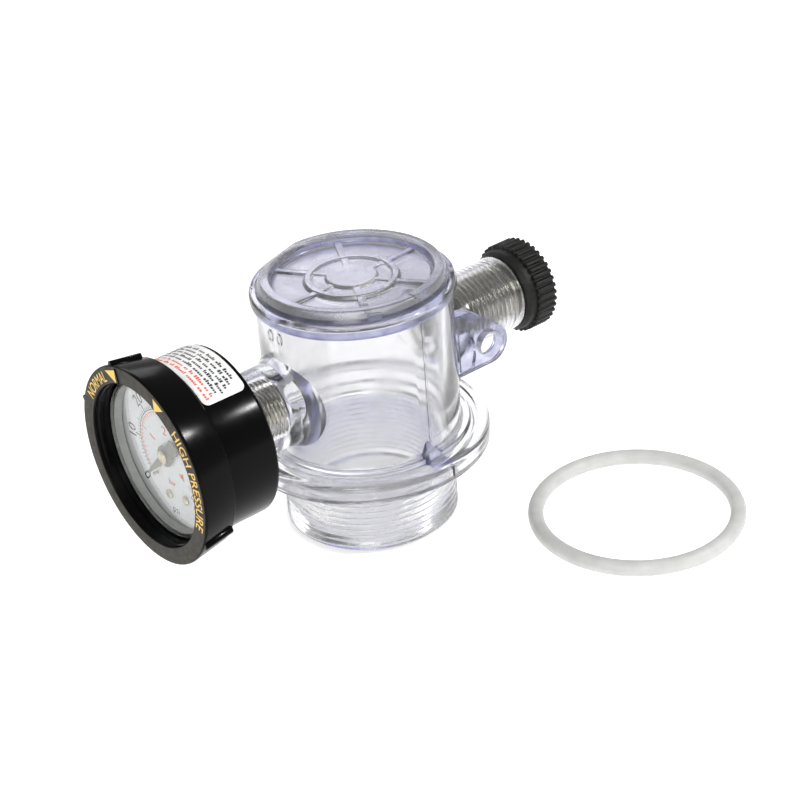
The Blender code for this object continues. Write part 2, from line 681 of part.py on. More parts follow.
LABEL_CLOCKS = (-42.0, 39.0)
LABEL_X = (-73.6, -57.8)


def spec_label():
    """A blank sticker wrapped round the top of the case."""
    bm = bmesh.new()
    radius = (CASE_R + 0.12) * MM
    top = bm.verts.new((radius, 0.0, LABEL_X[1] * MM))
    bottom = bm.verts.new((radius, 0.0, LABEL_X[0] * MM))
    bm.edges.new((top, bottom))
    made = add("spec_label", mesh_from("spec_label", bm), GAUGE_AXIS, "label",
               turn=180.0 + LABEL_CLOCKS[0])
    screw = made.modifiers.new("wrap", "SCREW")
    screw.angle = math.radians(LABEL_CLOCKS[1] - LABEL_CLOCKS[0])
    screw.steps = 16
    screw.render_steps = 16
    screw.use_smooth_shade = True
    skin = made.modifiers.new("thickness", "SOLIDIFY")
    skin.thickness = 0.2 * MM
    skin.offset = 1.0
    return made


def relief_stem():
    shape = [
        (0.0, 71.0), (5.5, 71.0), (5.5, 62.6), (STEM_THREAD_R - 0.4, 62.6), (STEM_THREAD_R, 62.0),
        (STEM_THREAD_R, 41.8), (STEM_THREAD_R - 0.6, 41.0), (5.7, 41.0), (5.7, 38.2), (4.6, 38.2), (4.6,
                                                                                                    36.0),
        (5.7, 36.0), (5.7, 34.4), (0.0, 34.4),
    ]
    stem = turned("relief_stem", shape, 32, VALVE_AXIS, "brass")
    flats = [box(f"stem_flat_{side}", (4.4, -8.0, 63.0), (9.0, 8.0, 72.0), VALVE_AXIS, turn=side)
             for side in (0, 120, 240)]
    bleed = box("bleed_slot", (6.6, -0.8, 40.0), (12.0, 0.8, 62.9), VALVE_AXIS, turn=200.0)
    cut(stem, bleed, *flats)
    return stem


def stem_o_ring():
    return tube("stem_o_ring", 6.2, 4.9, 36.3, 37.9, VALVE_AXIS, "rubber", steps=24)


def stem_tip_seal():
    return rod("stem_tip_seal", 4.4, SEAT_X + 0.3, 34.1, VALVE_AXIS, "rubber", steps=20)


def relief_knob():
    pitch = 360.0 / KNOB_TEETH
    rim = tooth_outline(KNOB_ROOT_R, KNOB_TOOTH_R, 0.0, KNOB_TEETH, pitch, share=0.38)
    knob = plate("relief_knob", rim, KNOB_RIM_X, KNOB_END_X, VALVE_AXIS, "knob")
    collar_profile = [(0.0, KNOB_RIM_X + 1.0), (KNOB_COLLAR_R, KNOB_RIM_X + 1.0), (KNOB_COLLAR_R,
                                                                                   KNOB_REAR_X + 0.9),
                      (KNOB_COLLAR_R - 0.9, KNOB_REAR_X), (0.0, KNOB_REAR_X)]
    collar = turned("knob_collar", collar_profile, 36, VALVE_AXIS)
    join(knob, collar)
    socket = rod("knob_socket", 5.5 + GAP, KNOB_REAR_X - 1.0, 71.4, VALVE_AXIS, steps=32)
    cut(knob, socket)
    return knob


def soften():
    """Round pieces are shaded smooth, with their corners kept."""
    for thing in PARTS.objects:
        if thing.type == "MESH":
            thing.data.shade_smooth()
            thing.data.set_sharp_from_angle(angle=math.radians(35.0))


clear_body()
top_cap()
flange_ring()
gauge_socket()
gauge_case()
case_screw("case_screw_left", -1)
case_screw("case_screw_right", 1)
bourdon_tube()
tube_tip()
movement_plate("movement_back_plate", BACK_PLATE_X, 10.0)
movement_front_plate()
movement_pillars()
sector_gear()
pinion_arbor()
link_bar()
hairspring()
dial_plate()
dial_screws()
pointer()
pointer_hub()
pointer_stop_pin()
lens()
lens_gasket()
bezel_ring()
spec_label()
relief_stem()
stem_o_ring()
stem_tip_seal()
relief_knob()
soften()
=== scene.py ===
"""Looks of the clear gauge and air-relief head of a cartridge filter housing."""
import math
import random

import bmesh
import bpy
from mathutils import Matrix, Vector

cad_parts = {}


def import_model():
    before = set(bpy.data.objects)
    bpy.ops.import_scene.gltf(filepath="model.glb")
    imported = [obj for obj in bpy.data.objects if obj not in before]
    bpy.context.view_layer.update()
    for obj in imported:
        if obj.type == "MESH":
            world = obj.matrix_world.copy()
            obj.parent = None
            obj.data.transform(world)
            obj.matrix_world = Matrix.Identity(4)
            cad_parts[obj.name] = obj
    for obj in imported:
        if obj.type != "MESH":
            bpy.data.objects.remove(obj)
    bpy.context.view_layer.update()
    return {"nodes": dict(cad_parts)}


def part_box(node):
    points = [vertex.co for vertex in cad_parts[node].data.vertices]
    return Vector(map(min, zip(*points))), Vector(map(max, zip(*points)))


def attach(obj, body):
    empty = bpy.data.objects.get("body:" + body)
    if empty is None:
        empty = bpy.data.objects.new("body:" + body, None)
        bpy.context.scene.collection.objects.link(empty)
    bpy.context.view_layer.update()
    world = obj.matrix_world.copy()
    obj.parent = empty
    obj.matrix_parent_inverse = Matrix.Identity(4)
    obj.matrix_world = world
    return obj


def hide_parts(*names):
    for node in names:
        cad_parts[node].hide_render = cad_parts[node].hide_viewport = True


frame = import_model()
NODES = frame["nodes"]

MM = 0.001

# Places read from the CAD frame, in millimetres.
CAP_LOW, CAP_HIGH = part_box("top_cap")
BODY_LOW, BODY_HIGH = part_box("clear_body")
CASE_LOW, CASE_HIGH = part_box("gauge_case")
BEZEL_LOW, BEZEL_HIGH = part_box("bezel_ring")
KNOB_LOW, KNOB_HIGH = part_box("relief_knob")
RING_LOW, RING_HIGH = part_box("flange_o_ring")
AXIS_X = (CAP_LOW.x + CAP_HIGH.x) / 2 / MM
AXIS_Y = (BODY_LOW.y + BODY_HIGH.y) / 2 / MM
GAUGE_Z = (CASE_LOW.z + CASE_HIGH.z) / 2 / MM
VALVE_Z = (KNOB_LOW.z + KNOB_HIGH.z) / 2 / MM


def station(value):
    """A world X in metres as millimetres from the barrel's axis."""
    return value / MM - AXIS_X


FACE_X = station(BEZEL_LOW.x)
BEZEL_REAR_X = station(BEZEL_HIGH.x)
CASE_BACK_X = station(CASE_HIGH.x)
CASE_FRONT_X = station(CASE_LOW.x)
DIAL_X = station(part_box("dial_plate")[0].x)
LENS_X = station(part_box("lens")[0].x)
POINTER_X = (station(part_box("pointer")[0].x), station(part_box("pointer")[1].x))
KNOB_REAR_X = station(KNOB_LOW.x)
KNOB_END_X = station(KNOB_HIGH.x)
GAUGE_BOSS_X = station(BODY_LOW.x)
VALVE_BOSS_X = station(BODY_HIGH.x)
NECK_CREST_R = 29.85
FLANGE_R = (BODY_HIGH.y - BODY_LOW.y) / 2 / MM
BARREL_R = 32.9
BARREL_BORE_R = 29.5
RIM_TOP_Z = BODY_HIGH.z / MM
CASE_R = (CASE_HIGH.z - CASE_LOW.z) / 2 / MM
FLANGE_BOTTOM_Z = 27.2
FLANGE_TOP_Z = 34.6

BODY = Matrix.Translation((AXIS_X * MM, AXIS_Y * MM, 0.0)) @ Matrix.Scale(MM, 4)


def port_frame(height):
    """Millimetres about a port's axis: its own Z is the world's +X, and its own -X is up."""
    place = Matrix.Translation((AXIS_X * MM, AXIS_Y * MM, height * MM))
    return place @ Matrix.Rotation(math.radians(90.0), 4, "Y") @ Matrix.Scale(MM, 4)


GAUGE = port_frame(GAUGE_Z)
VALVE = port_frame(VALVE_Z)
# The lug's frame: its XY plane is the world's XZ plane, and its Z points to -Y.
LUG = (Matrix.Translation((AXIS_X * MM, AXIS_Y * MM, 0.0)) @ Matrix.Rotation(math.radians(90.0), 4, "X")
       @ Matrix.Scale(MM, 4))


# ---------------------------------------------------------------- materials

def shader_of(mat):
    return mat.node_tree.nodes["Principled BSDF"]


def new_material(name, colour, roughness, metallic=0.0, **extra):
    mat = bpy.data.materials.new(name)
    mat.use_nodes = True
    shader = shader_of(mat)
    shader.inputs["Base Color"].default_value = (*colour, 1.0)
    shader.inputs["Roughness"].default_value = roughness
    shader.inputs["Metallic"].default_value = metallic
    for socket, value in extra.items():
        shader.inputs[socket.replace("_", " ")].default_value = value
    return mat


def add_node(mat, kind, **values):
    node = mat.node_tree.nodes.new(kind)
    for name, value in values.items():
        node.inputs[name.replace("_", " ")].default_value = value
    return node


def object_noise(mat, scale, detail=3.0):
    """Noise that is fixed to the piece, in metres."""
    place = mat.node_tree.nodes.new("ShaderNodeTexCoord")
    noise = add_node(mat, "ShaderNodeTexNoise", Scale=scale, Detail=detail)
    mat.node_tree.links.new(place.outputs["Object"], noise.inputs["Vector"])
    return noise


def spread(mat, source, low, high):
    """A noise value spread over a range."""
    node = add_node(mat, "ShaderNodeMapRange", From_Min=0.3, From_Max=0.7, To_Min=low, To_Max=high)
    mat.node_tree.links.new(source, node.inputs["Value"])
    return node.outputs["Result"]


def vary_roughness(mat, scale, low, high):
    noise = object_noise(mat, scale)
    value = spread(mat, noise.outputs["Fac"], low, high)
    mat.node_tree.links.new(value, shader_of(mat).inputs["Roughness"])


def vary_colour(mat, scale, first, second):
    noise = object_noise(mat, scale)
    ramp = mat.node_tree.nodes.new("ShaderNodeValToRGB")
    ramp.color_ramp.elements[0].position = 0.35
    ramp.color_ramp.elements[0].color = (*first, 1.0)
    ramp.color_ramp.elements[1].position = 0.65
    ramp.color_ramp.elements[1].color = (*second, 1.0)
    mat.node_tree.links.new(noise.outputs["Fac"], ramp.inputs["Fac"])
    mat.node_tree.links.new(ramp.outputs["Color"], shader_of(mat).inputs["Base Color"])


def bump(mat, scale, strength, distance):
    noise = object_noise(mat, scale)
    node = add_node(mat, "ShaderNodeBump", Strength=strength, Distance=distance)
    mat.node_tree.links.new(noise.outputs["Fac"], node.inputs["Height"])
    mat.node_tree.links.new(node.outputs["Normal"], shader_of(mat).inputs["Normal"])


def absorb(mat, colour, density):
    """Tint that deepens with the thickness of the plastic."""
    volume = add_node(mat, "ShaderNodeVolumeAbsorption", Color=(*colour, 1.0), Density=density)
    out = mat.node_tree.nodes["Material Output"]
    mat.node_tree.links.new(volume.outputs["Volume"], out.inputs["Volume"])


# Colour and density of the plastic's own tint.
TINT = ((0.45, 0.45, 0.75), 4.0)
PLASTIC_IOR = 1.45


def clear_plastic():
    mat = new_material("clear_polycarbonate", (0.89, 0.89, 0.90), 0.09, IOR=PLASTIC_IOR,
                       Transmission_Weight=0.97)
    vary_colour(mat, 260.0, (0.85, 0.85, 0.855), (0.89, 0.89, 0.90))
    vary_roughness(mat, 70.0, 0.04, 0.16)
    bump(mat, 120.0, 0.03, 0.0006)
    absorb(mat, *TINT)
    return mat


def hazy_plastic():
    """The same plastic where the thread and the mould's spark finish scatter the light."""
    mat = new_material("hazy_polycarbonate", (0.95, 0.95, 0.945), 0.2, IOR=PLASTIC_IOR,
                       Transmission_Weight=0.86)
    vary_roughness(mat, 150.0, 0.16, 0.30)
    absorb(mat, *TINT)
    return mat


def frosted_plastic():
    """The welded cap, dulled by its mould."""
    mat = new_material("frosted_polycarbonate", (0.86, 0.86, 0.81), 0.2, IOR=PLASTIC_IOR,
                       Transmission_Weight=0.94)
    vary_colour(mat, 420.0, (0.79, 0.79, 0.74), (0.91, 0.91, 0.86))
    vary_roughness(mat, 150.0, 0.14, 0.30)
    bump(mat, 160.0, 0.10, 0.0006)
    absorb(mat, *TINT)
    return mat


def edge_plastic():
    """The same plastic given a darker blue, as painted shade for where it is seen along its thick edge."""
    mat = new_material("edge_shade_polycarbonate", (0.56, 0.57, 0.73), 0.2, IOR=PLASTIC_IOR,
                       Transmission_Weight=0.92)
    vary_colour(mat, 220.0, (0.42, 0.43, 0.62), (0.70, 0.71, 0.83))
    absorb(mat, *TINT)
    return mat


def lens_plastic():
    mat = new_material("clear_lens", (0.99, 1.0, 1.0), 0.02, IOR=PLASTIC_IOR, Transmission_Weight=1.0)
    vary_roughness(mat, 120.0, 0.01, 0.04)
    return mat


def lens_skirt():
    mat = new_material("lens_skirt", (0.66, 0.67, 0.64), 0.45)
    vary_colour(mat, 250.0, (0.61, 0.62, 0.59), (0.71, 0.72, 0.69))
    return mat


def black_moulding():
    mat = new_material("black_moulding", (0.0015, 0.0015, 0.0015), 0.17, Specular_IOR_Level=0.08)
    vary_roughness(mat, 300.0, 0.15, 0.20)
    bump(mat, 2500.0, 0.04, 0.00004)
    return mat


def bezel_face_moulding():
    mat = new_material("bezel_face", (0.045, 0.042, 0.036), 0.6, Specular_IOR_Level=0.2)
    vary_colour(mat, 500.0, (0.034, 0.032, 0.027), (0.060, 0.055, 0.046))
    bump(mat, 5000.0, 0.25, 0.00006)
    return mat


def knob_moulding():
    mat = new_material("knob_moulding", (0.007, 0.007, 0.007), 0.5, Specular_IOR_Level=0.25)
    vary_colour(mat, 500.0, (0.004, 0.004, 0.004), (0.011, 0.011, 0.010))
    bump(mat, 3000.0, 0.25, 0.00008)
    return mat


def metal(name, colour, roughness, second=None):
    mat = new_material(name, colour, roughness, metallic=1.0)
    vary_colour(mat, 350.0, colour, second or tuple(value * 0.8 for value in colour))
    bump(mat, 1800.0, 0.08, 0.00004)
    return mat


def white_silicone():
    mat = new_material("white_silicone", (0.58, 0.58, 0.565), 0.5)
    vary_colour(mat, 160.0, (0.51, 0.51, 0.495), (0.57, 0.57, 0.56))
    bump(mat, 900.0, 0.12, 0.0001)
    return mat


def rubber():
    mat = new_material("black_rubber", (0.015, 0.015, 0.015), 0.6)
    vary_roughness(mat, 600.0, 0.5, 0.75)
    return mat


def matt_print(name, colour, roughness=0.5):
    mat = new_material(name, colour, roughness)
    vary_colour(mat, 700.0, colour, tuple(value * 0.92 for value in colour))
    return mat


CLEAR = clear_plastic()
HAZY = hazy_plastic()
FROSTED = frosted_plastic()
# Painted shade: a darker blue for the thick edges of the clear mouldings.
EDGE_SHADE = edge_plastic()
LENS = lens_plastic()
LENS_SKIRT = lens_skirt()
BLACK = black_moulding()
BEZEL_FACE = bezel_face_moulding()
KNOB = knob_moulding()
BRASS = metal("machined_brass", (0.62, 0.56, 0.38), 0.25, (0.45, 0.40, 0.26))
STEM_METAL = metal("plated_stem", (0.56, 0.54, 0.46), 0.16, (0.26, 0.25, 0.18))
BRONZE = metal("drawn_bronze", (0.55, 0.34, 0.18), 0.3)
STEEL = metal("zinc_steel", (0.6, 0.6, 0.61), 0.3)
WHITE = white_silicone()
RUBBER = rubber()
DIAL_WHITE = matt_print("dial_enamel", (0.93, 0.94, 0.95))
LABEL_WHITE = matt_print("label_film", (0.86, 0.86, 0.85), 0.35)
BLACK_INK = matt_print("black_ink", (0.02, 0.02, 0.025))
RED_INK = matt_print("red_ink", (0.78, 0.10, 0.04))
YELLOW_PAINT = matt_print("yellow_paint", (0.86, 0.55, 0.09), 0.4)
POINTER_PAINT = matt_print("pointer_paint", (0.16, 0.155, 0.115), 0.4)


# ---------------------------------------------------------------- mesh tools

SMOOTH_ANGLE = math.radians(32.0)


def piece(name, bm, matrix, mat):
    """A finished mesh object in the world's metres."""
    bmesh.ops.transform(bm, matrix=matrix, verts=bm.verts)
    bmesh.ops.recalc_face_normals(bm, faces=bm.faces)
    mesh = bpy.data.meshes.new(name)
    bm.to_mesh(mesh)
    bm.free()
    made = bpy.data.objects.new(name, mesh)
    bpy.context.scene.collection.objects.link(made)
    if mat:
        mesh.materials.append(mat)
    mesh.shade_smooth()
    mesh.set_sharp_from_angle(angle=SMOOTH_ANGLE)
    return made


def rounded(points, closed=True, parts=4):
    """A (radius, height, corner radius) outline as plain points, with its corners rounded."""
    count = len(points)
    done = []
    for index, (x, y, radius) in enumerate(points):
        here = Vector((x, y))
        ends = not closed and index in (0, count - 1)
        before = Vector(points[index - 1][:2])
        after = Vector(points[(index + 1) % count][:2])
        if ends or radius <= 0.0:
            done.append((x, y))
            continue
        back = (before - here).normalized()
        ahead = (after - here).normalized()
        half = math.acos(max(-1.0, min(1.0, back.dot(ahead)))) / 2
        if abs(half - math.pi / 2) < 0.01 or half < 0.01:
            done.append((x, y))
            continue
        reach = min(radius / math.tan(half), (before - here).length * 0.49, (after - here).length * 0.49)
        start = here + back * reach
        end = here + ahead * reach
        for part in range(parts + 1):
            t = part / parts
            spot = start * (1 - t) ** 2 + here * 2 * t * (1 - t) + end * t * t
            done.append((spot.x, spot.y))
    return done


def lathe(profile, steps, wave=None, phase=0.0):
    """A turned solid. A profile that starts on the axis is capped there; any other is a closed ring.
    wave(angle, radius, height) returns the radius to use instead, for threads and scallops."""
    bm = bmesh.new()
    rows = []
    for radius, height in profile:
        if radius <= 0.0:
            rows.append([bm.verts.new((0.0, 0.0, height))])
            continue
        row = []
        for step in range(steps):
            angle = 2 * math.pi * step / steps + phase
            r = wave(angle, radius, height) if wave else radius
            row.append(bm.verts.new((r * math.cos(angle), r * math.sin(angle), height)))
        rows.append(row)
    pairs = list(zip(rows, rows[1:]))
    if profile[0][0] > 0.0:
        pairs.append((rows[-1], rows[0]))
    for upper, lower in pairs:
        for step in range(steps):
            after = (step + 1) % steps
            if len(upper) == 1:
                bm.faces.new((upper[0], lower[step], lower[after]))
            elif len(lower) == 1:
                bm.faces.new((upper[step], lower[0], upper[after]))
            else:
                bm.faces.new((upper[step], lower[step], lower[after], upper[after]))
    return bm


def threaded_run(radius, low, high, pitch, rows_per_turn=8):
    """Evenly spaced profile points down a threaded stretch."""
    count = max(2, int((high - low) / pitch * rows_per_turn))
    return [(radius, high + (low - high) * index / count) for index in range(count + 1)]


def helix(crest, root, low, high, pitch, fade, lead=0.0):
    """A wave for lathe: a rounded V thread between two heights, with its ends faded out."""
    def wave(angle, radius, height):
        if not low - 0.001 <= height <= high + 0.001 or abs(radius - crest) > 0.001:
            return radius
        turn = (height / pitch - angle / (2 * math.pi) + lead) % 1.0
        tooth = abs(2 * turn - 1)
        tooth = min(1.0, max(0.0, tooth * 1.35 - 0.175))
        strength = min(1.0, (height - low) / fade, (high - height) / fade)
        return crest - (crest - root) * tooth * max(0.0, strength)
    return wave


def flat_plate(outline, low, high):
    """A closed outline in XY, given a thickness along Z."""
    bm = bmesh.new()
    bottom = [bm.verts.new((x, y, low)) for x, y in outline]
    top = [bm.verts.new((x, y, high)) for x, y in outline]
    bm.faces.new(list(reversed(bottom)))
    bm.faces.new(top)
    for index in range(len(outline)):
        after = (index + 1) % len(outline)
        bm.faces.new((bottom[index], bottom[after], top[after], top[index]))
    return bm


def block(low, high, turn=0.0):
    """A box between two corners, turned about Z."""
    outline = [(low[0], low[1]), (high[0], low[1]), (high[0], high[1]), (low[0], high[1])]
    bm = flat_plate(outline, low[2], high[2])
    turned = Matrix.Rotation(math.radians(turn), 3, "Z")
    bmesh.ops.rotate(bm, verts=bm.verts, cent=(0, 0, 0), matrix=turned)
    return bm


def arc(centre, radius, start, end, count):
    points = []
    for step in range(count + 1):
        angle = math.radians(start + (end - start) * step / count)
        points.append((centre[0] + radius * math.cos(angle), centre[1] + radius * math.sin(angle)))
    return points


def on_clock(clock, radius):
    """A point in the port frame, at an angle clockwise from the top seen from the gauge's face."""
    angle = math.radians(clock)
    return (-radius * math.cos(angle), -radius * math.sin(angle))


def boolean(target, tools, operation):
    """One exact Boolean over all the tools, applied to the mesh, which then has no modifier."""
    group = bpy.data.collections.new("tools")
    bpy.context.scene.collection.children.link(group)
    for tool in tools:
        bpy.context.scene.collection.objects.unlink(tool)
        group.objects.link(tool)
    change = target.modifiers.new("change", "BOOLEAN")
    change.operation = operation
    change.solver = "EXACT"
    change.operand_type = "COLLECTION"
    change.collection = group
    bake(target)
    for tool in tools:
        bpy.data.objects.remove(tool)
    bpy.data.collections.remove(group)


def paint_where(made, material, chosen):
    """Gives a second material to the faces whose middle, in the body's millimetres, is chosen."""
    made.data.materials.append(material)
    for polygon in made.data.polygons:
        if chosen(BODY.inverted() @ polygon.center):
            polygon.material_index = len(made.data.materials) - 1


def bake(made):
    """Applies every modifier."""
    bpy.context.view_layer.update()
    evaluated = made.evaluated_get(bpy.context.evaluated_depsgraph_get())
    mesh = bpy.data.meshes.new_from_object(evaluated)
    old = made.data
    made.modifiers.clear()
    made.data = mesh
    mesh.name = old.name
    bpy.data.meshes.remove(old)
    mesh.shade_smooth()
    mesh.set_sharp_from_angle(angle=SMOOTH_ANGLE)


def bevelled(made, width, segments=2, angle=40.0):
    """Rounds the sharp edges of a solid by a width in millimetres."""
    edge = made.modifiers.new("edge", "BEVEL")
    edge.width = width * MM
    edge.segments = segments
    edge.limit_method = "ANGLE"
    edge.angle_limit = math.radians(angle)
    bake(made)


def finish_piece(made, body, node=None):
    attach(made, body)
    if node:
        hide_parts(node)
    return made


# ---------------------------------------------------------------- clear body

NECK_PITCH = 2.3
NECK_THREAD = (1.4, 25.6)
NECK_ROOT_R = 28.85
NECK_BORE_R = 25.5
RIM_R = 34.4
RIM_BOTTOM_Z = 84.4
CAP_SEAT_R = 32.3
CAP_SEAT_Z = 86.2
GAUGE_PITCH = 1.42
GAUGE_THREAD = (-52.6, -37.0)
GAUGE_BORE_R = 6.9
GAUGE_BORE_CREST_R = 6.1
VALVE_PITCH = 2.0
VALVE_THREAD = (41.5, 62.4)
VALVE_BORE_R = 9.4
VALVE_BORE_CREST_R = 8.95
SEAT_BORE_R = 6.5
SEAT_X = 31.3
VENT_R = 2.2
PORT_END_X = 21.0
LUG_EYE = (43.6, 53.0)
LUG_EYE_R = 4.75
LUG_END_R = 7.4
LUG_BACK = 13.2
LUG_FRONT = 17.7
SEAM_ANGLE = -87.0
BODY_STEPS = 176


def clear_body():
    neck = threaded_run(NECK_CREST_R, *NECK_THREAD, NECK_PITCH, 9)
    shell = rounded([
        (0.0, RIM_TOP_Z, 0.0), (RIM_R, RIM_TOP_Z, 1.6), (RIM_R, RIM_BOTTOM_Z, 1.6), (BARREL_R, 83.9, 0.8),
        (BARREL_R, FLANGE_TOP_Z + 0.5, 3.2), (35.6, FLANGE_TOP_Z + 0.4, 0.6),
        (36.3, FLANGE_TOP_Z - 0.6, 0.5), (37.9, FLANGE_TOP_Z - 0.6, 0.5),
        (38.5, FLANGE_TOP_Z + 0.1, 0.5), (FLANGE_R, FLANGE_TOP_Z - 0.2, 2.6),
        (FLANGE_R, FLANGE_BOTTOM_Z, 1.2), (37.2, FLANGE_BOTTOM_Z, 0.3), (37.2, 29.8, 0.6), (31.0, 29.8, 0.6),
        (31.0, FLANGE_BOTTOM_Z, 0.3), (28.4, FLANGE_BOTTOM_Z - 0.3, 0.3), (28.4, 26.4, 0.3),
    ], closed=False)
    foot = rounded([(NECK_CREST_R, 1.4, 0.0), (NECK_CREST_R - 1.4, 0.0, 0.4), (0.0, 0.0, 0.0)],
                   closed=False)
    wave = helix(NECK_CREST_R, NECK_ROOT_R, *NECK_THREAD, NECK_PITCH, 1.2)
    body = piece("clear_body_moulding", lathe(shell + neck + foot[1:], BODY_STEPS, wave), BODY, CLEAR)

    gauge_boss = rounded([
        (0.0, -18.0, 0.0), (17.2, -18.0, 0.0), (17.2, -30.2, 0.8), (15.4, -33.6, 1.6), (14.6, -36.0, 1.0),
        (14.3, GAUGE_BOSS_X, 0.9), (0.0, GAUGE_BOSS_X, 0.0)], closed=False)
    valve_boss = rounded([
        (0.0, VALVE_BOSS_X, 0.0), (13.5, VALVE_BOSS_X, 0.7), (13.8, 36.0, 1.0), (15.8, 31.2, 0.0),
        (15.8, 18.0, 0.0), (0.0, 18.0, 0.0)], closed=False)
    additions = [
        piece("gauge_boss_tool", lathe(gauge_boss, 112, phase=0.01), GAUGE, None),
        piece("valve_boss_tool", lathe(valve_boss, 112, phase=0.01), VALVE, None),
        lug_plate(),
        parting_line(),
        flange_gusset(),
        *cavity_marks(),
    ]
    boolean(body, additions, "UNION")

    inside = rounded([
        (0.0, RIM_TOP_Z + 3.0, 0.0), (CAP_SEAT_R, RIM_TOP_Z + 3.0, 0.0), (CAP_SEAT_R, CAP_SEAT_Z, 0.2),
        (BARREL_BORE_R, CAP_SEAT_Z, 0.5),
        (BARREL_BORE_R - 0.3, 32.0, 2.0), (25.8, 27.5, 2.0), (NECK_BORE_R, -3.0, 0.0), (0.0, -3.0, 0.0)],
        closed=False)
    gauge_bore = [(0.0, GAUGE_BOSS_X - 3.0), (GAUGE_BORE_R, GAUGE_BOSS_X - 3.0),
                  (GAUGE_BORE_R, GAUGE_BOSS_X + 0.2)]
    gauge_bore += threaded_run(GAUGE_BORE_R, *GAUGE_THREAD, GAUGE_PITCH)[::-1]
    gauge_bore += [(5.6, -34.5), (5.6, -PORT_END_X), (0.0, -PORT_END_X)]
    gauge_wave = helix(GAUGE_BORE_R, GAUGE_BORE_CREST_R, *GAUGE_THREAD, GAUGE_PITCH, 0.8)
    valve_bore = [(0.0, VALVE_BOSS_X + 3.0), (VALVE_BORE_R, VALVE_BOSS_X + 3.0),
                  (VALVE_BORE_R, VALVE_BOSS_X - 0.1)]
    valve_bore += threaded_run(VALVE_BORE_R, *VALVE_THREAD, VALVE_PITCH)
    valve_bore += [(9.2, 40.0), (SEAT_BORE_R, 40.0), (SEAT_BORE_R, SEAT_X), (VENT_R, SEAT_X),
                   (VENT_R, PORT_END_X), (0.0, PORT_END_X)]
    valve_wave = helix(VALVE_BORE_R, VALVE_BORE_CREST_R, *VALVE_THREAD, VALVE_PITCH, 0.8)
    eye = lathe([(0.0, 12.4), (LUG_EYE_R, 12.4), (LUG_EYE_R, 21.0), (0.0, 21.0)], 48)
    notch = block((FLANGE_R - 1.6, -0.5, 28.6), (FLANGE_R + 1.0, 0.5, 33.0), SEAM_ANGLE + 1.0)
    cutters = [
        piece("hollow_tool", lathe(inside, BODY_STEPS, phase=0.013), BODY, None),
        piece("gauge_bore_tool", lathe(gauge_bore, 72, gauge_wave, phase=0.02), GAUGE, None),
        piece("valve_bore_tool", lathe(valve_bore, 88, valve_wave, phase=0.02), VALVE, None),
        piece("lug_eye_tool", eye, LUG @ Matrix.Translation((*LUG_EYE, 0.0)), None),
        piece("notch_tool", notch, BODY, None),
    ]
    boolean(body, cutters, "DIFFERENCE")
    paint_where(body, HAZY,
                lambda spot: NECK_THREAD[0] < spot.z < NECK_THREAD[1] and spot.xy.length > 27.5)
    # Painted shade: the darker blue edge material on the body's thick edges.
    paint_where(body, EDGE_SHADE, is_thick_edge)
    return finish_piece(body, "head", "clear_body")


def is_thick_edge(spot):
    """Where the moulding is seen along its thickness; these faces get a darker blue as painted shade."""
    from_axis = spot.xy.length
    from_gauge = math.hypot(spot.y, spot.z - GAUGE_Z)
    from_valve = math.hypot(spot.y, spot.z - VALVE_Z)
    rim = 83.4 < spot.z < 87.0 and from_axis > 32.9
    gusset = abs(spot.x) < 4.6 and spot.y < -32.6 and 33.8 < spot.z < 41.0
    lug = spot.x > 28.0 and spot.y < -13.0 and 44.0 < spot.z < 71.0
    lug = lug and from_axis > 33.1 and from_valve > 14.0
    boss = -33.0 < spot.x < -29.0 and 15.3 < from_gauge < 17.1 and from_axis > 33.4
    return rim or gusset or lug or boss


def lug_plate():
    """The lug's plate, with a raised border round a sunk face."""
    foot = LUG_EYE[1] - LUG_END_R
    outline = [(24.0, foot)] + arc(LUG_EYE, LUG_END_R, -90.0, 68.0, 20)
    outline += [(37.6, 67.0), (34.4, 69.0), (24.0, 70.0)]
    lug = piece("lug_tool", flat_plate(outline, LUG_BACK, LUG_FRONT), LUG, None)
    bevelled(lug, 0.5)
    sunk = [(29.4, foot + 1.8), (35.4, foot + 1.8), (36.4, 52.0), (36.0, 57.0), (34.0, 62.0),
            (29.4, 64.5)]
    pocket = piece("pocket_tool", flat_plate(sunk, LUG_FRONT - 1.5, LUG_FRONT + 1.3), LUG, None)
    boolean(lug, [pocket], "DIFFERENCE")
    return lug


def parting_line():
    """The fine ridge that the mould leaves up the barrel's front."""
    ridge = block((BARREL_R - 0.6, -0.35, 36.5), (BARREL_R + 0.4, 0.35, 83.5), SEAM_ANGLE)
    return piece("parting_tool", ridge, BODY, None)


def flange_gusset():
    """A small wedge in the corner between the barrel and the flange, under the parting line."""
    bm = bmesh.new()
    peak = bm.verts.new((32.0, 0.0, 40.4))
    corners = ((32.0, -3.4, 33.6), (40.4, -4.0, 33.6), (40.4, 4.0, 33.6), (32.0, 3.4, 33.6))
    foot = [bm.verts.new(corner) for corner in corners]
    bm.faces.new(foot)
    for index in range(4):
        bm.faces.new((foot[index], foot[(index + 1) % 4], peak))
    turn = Matrix.Rotation(math.radians(SEAM_ANGLE - 3.0), 3, "Z")
    bmesh.ops.rotate(bm, verts=bm.verts, cent=(0, 0, 0), matrix=turn)
    return piece("gusset_tool", bm, BODY, None)


def cavity_marks():
    """Two plain raised ovals over the gauge's boss."""
    marks = []
    for index, across in enumerate((2.1, -2.5)):
        oval = lathe(rounded([(1.0, 0.0, 0.0), (1.0, 1.0, 0.1), (1.5, 1.0, 0.1), (1.5, 0.0, 0.0)]), 28)
        turn = Matrix.Rotation(math.radians(-90.0), 4, "Y")
        place = Matrix.Translation((-BARREL_R + 0.65, across, 80.0)) @ turn
        stretch = Matrix.Diagonal((1.5, 0.9, 1.0, 1.0))
        marks.append(piece(f"oval_tool_{index}", oval, BODY @ place @ stretch, None))
    return marks


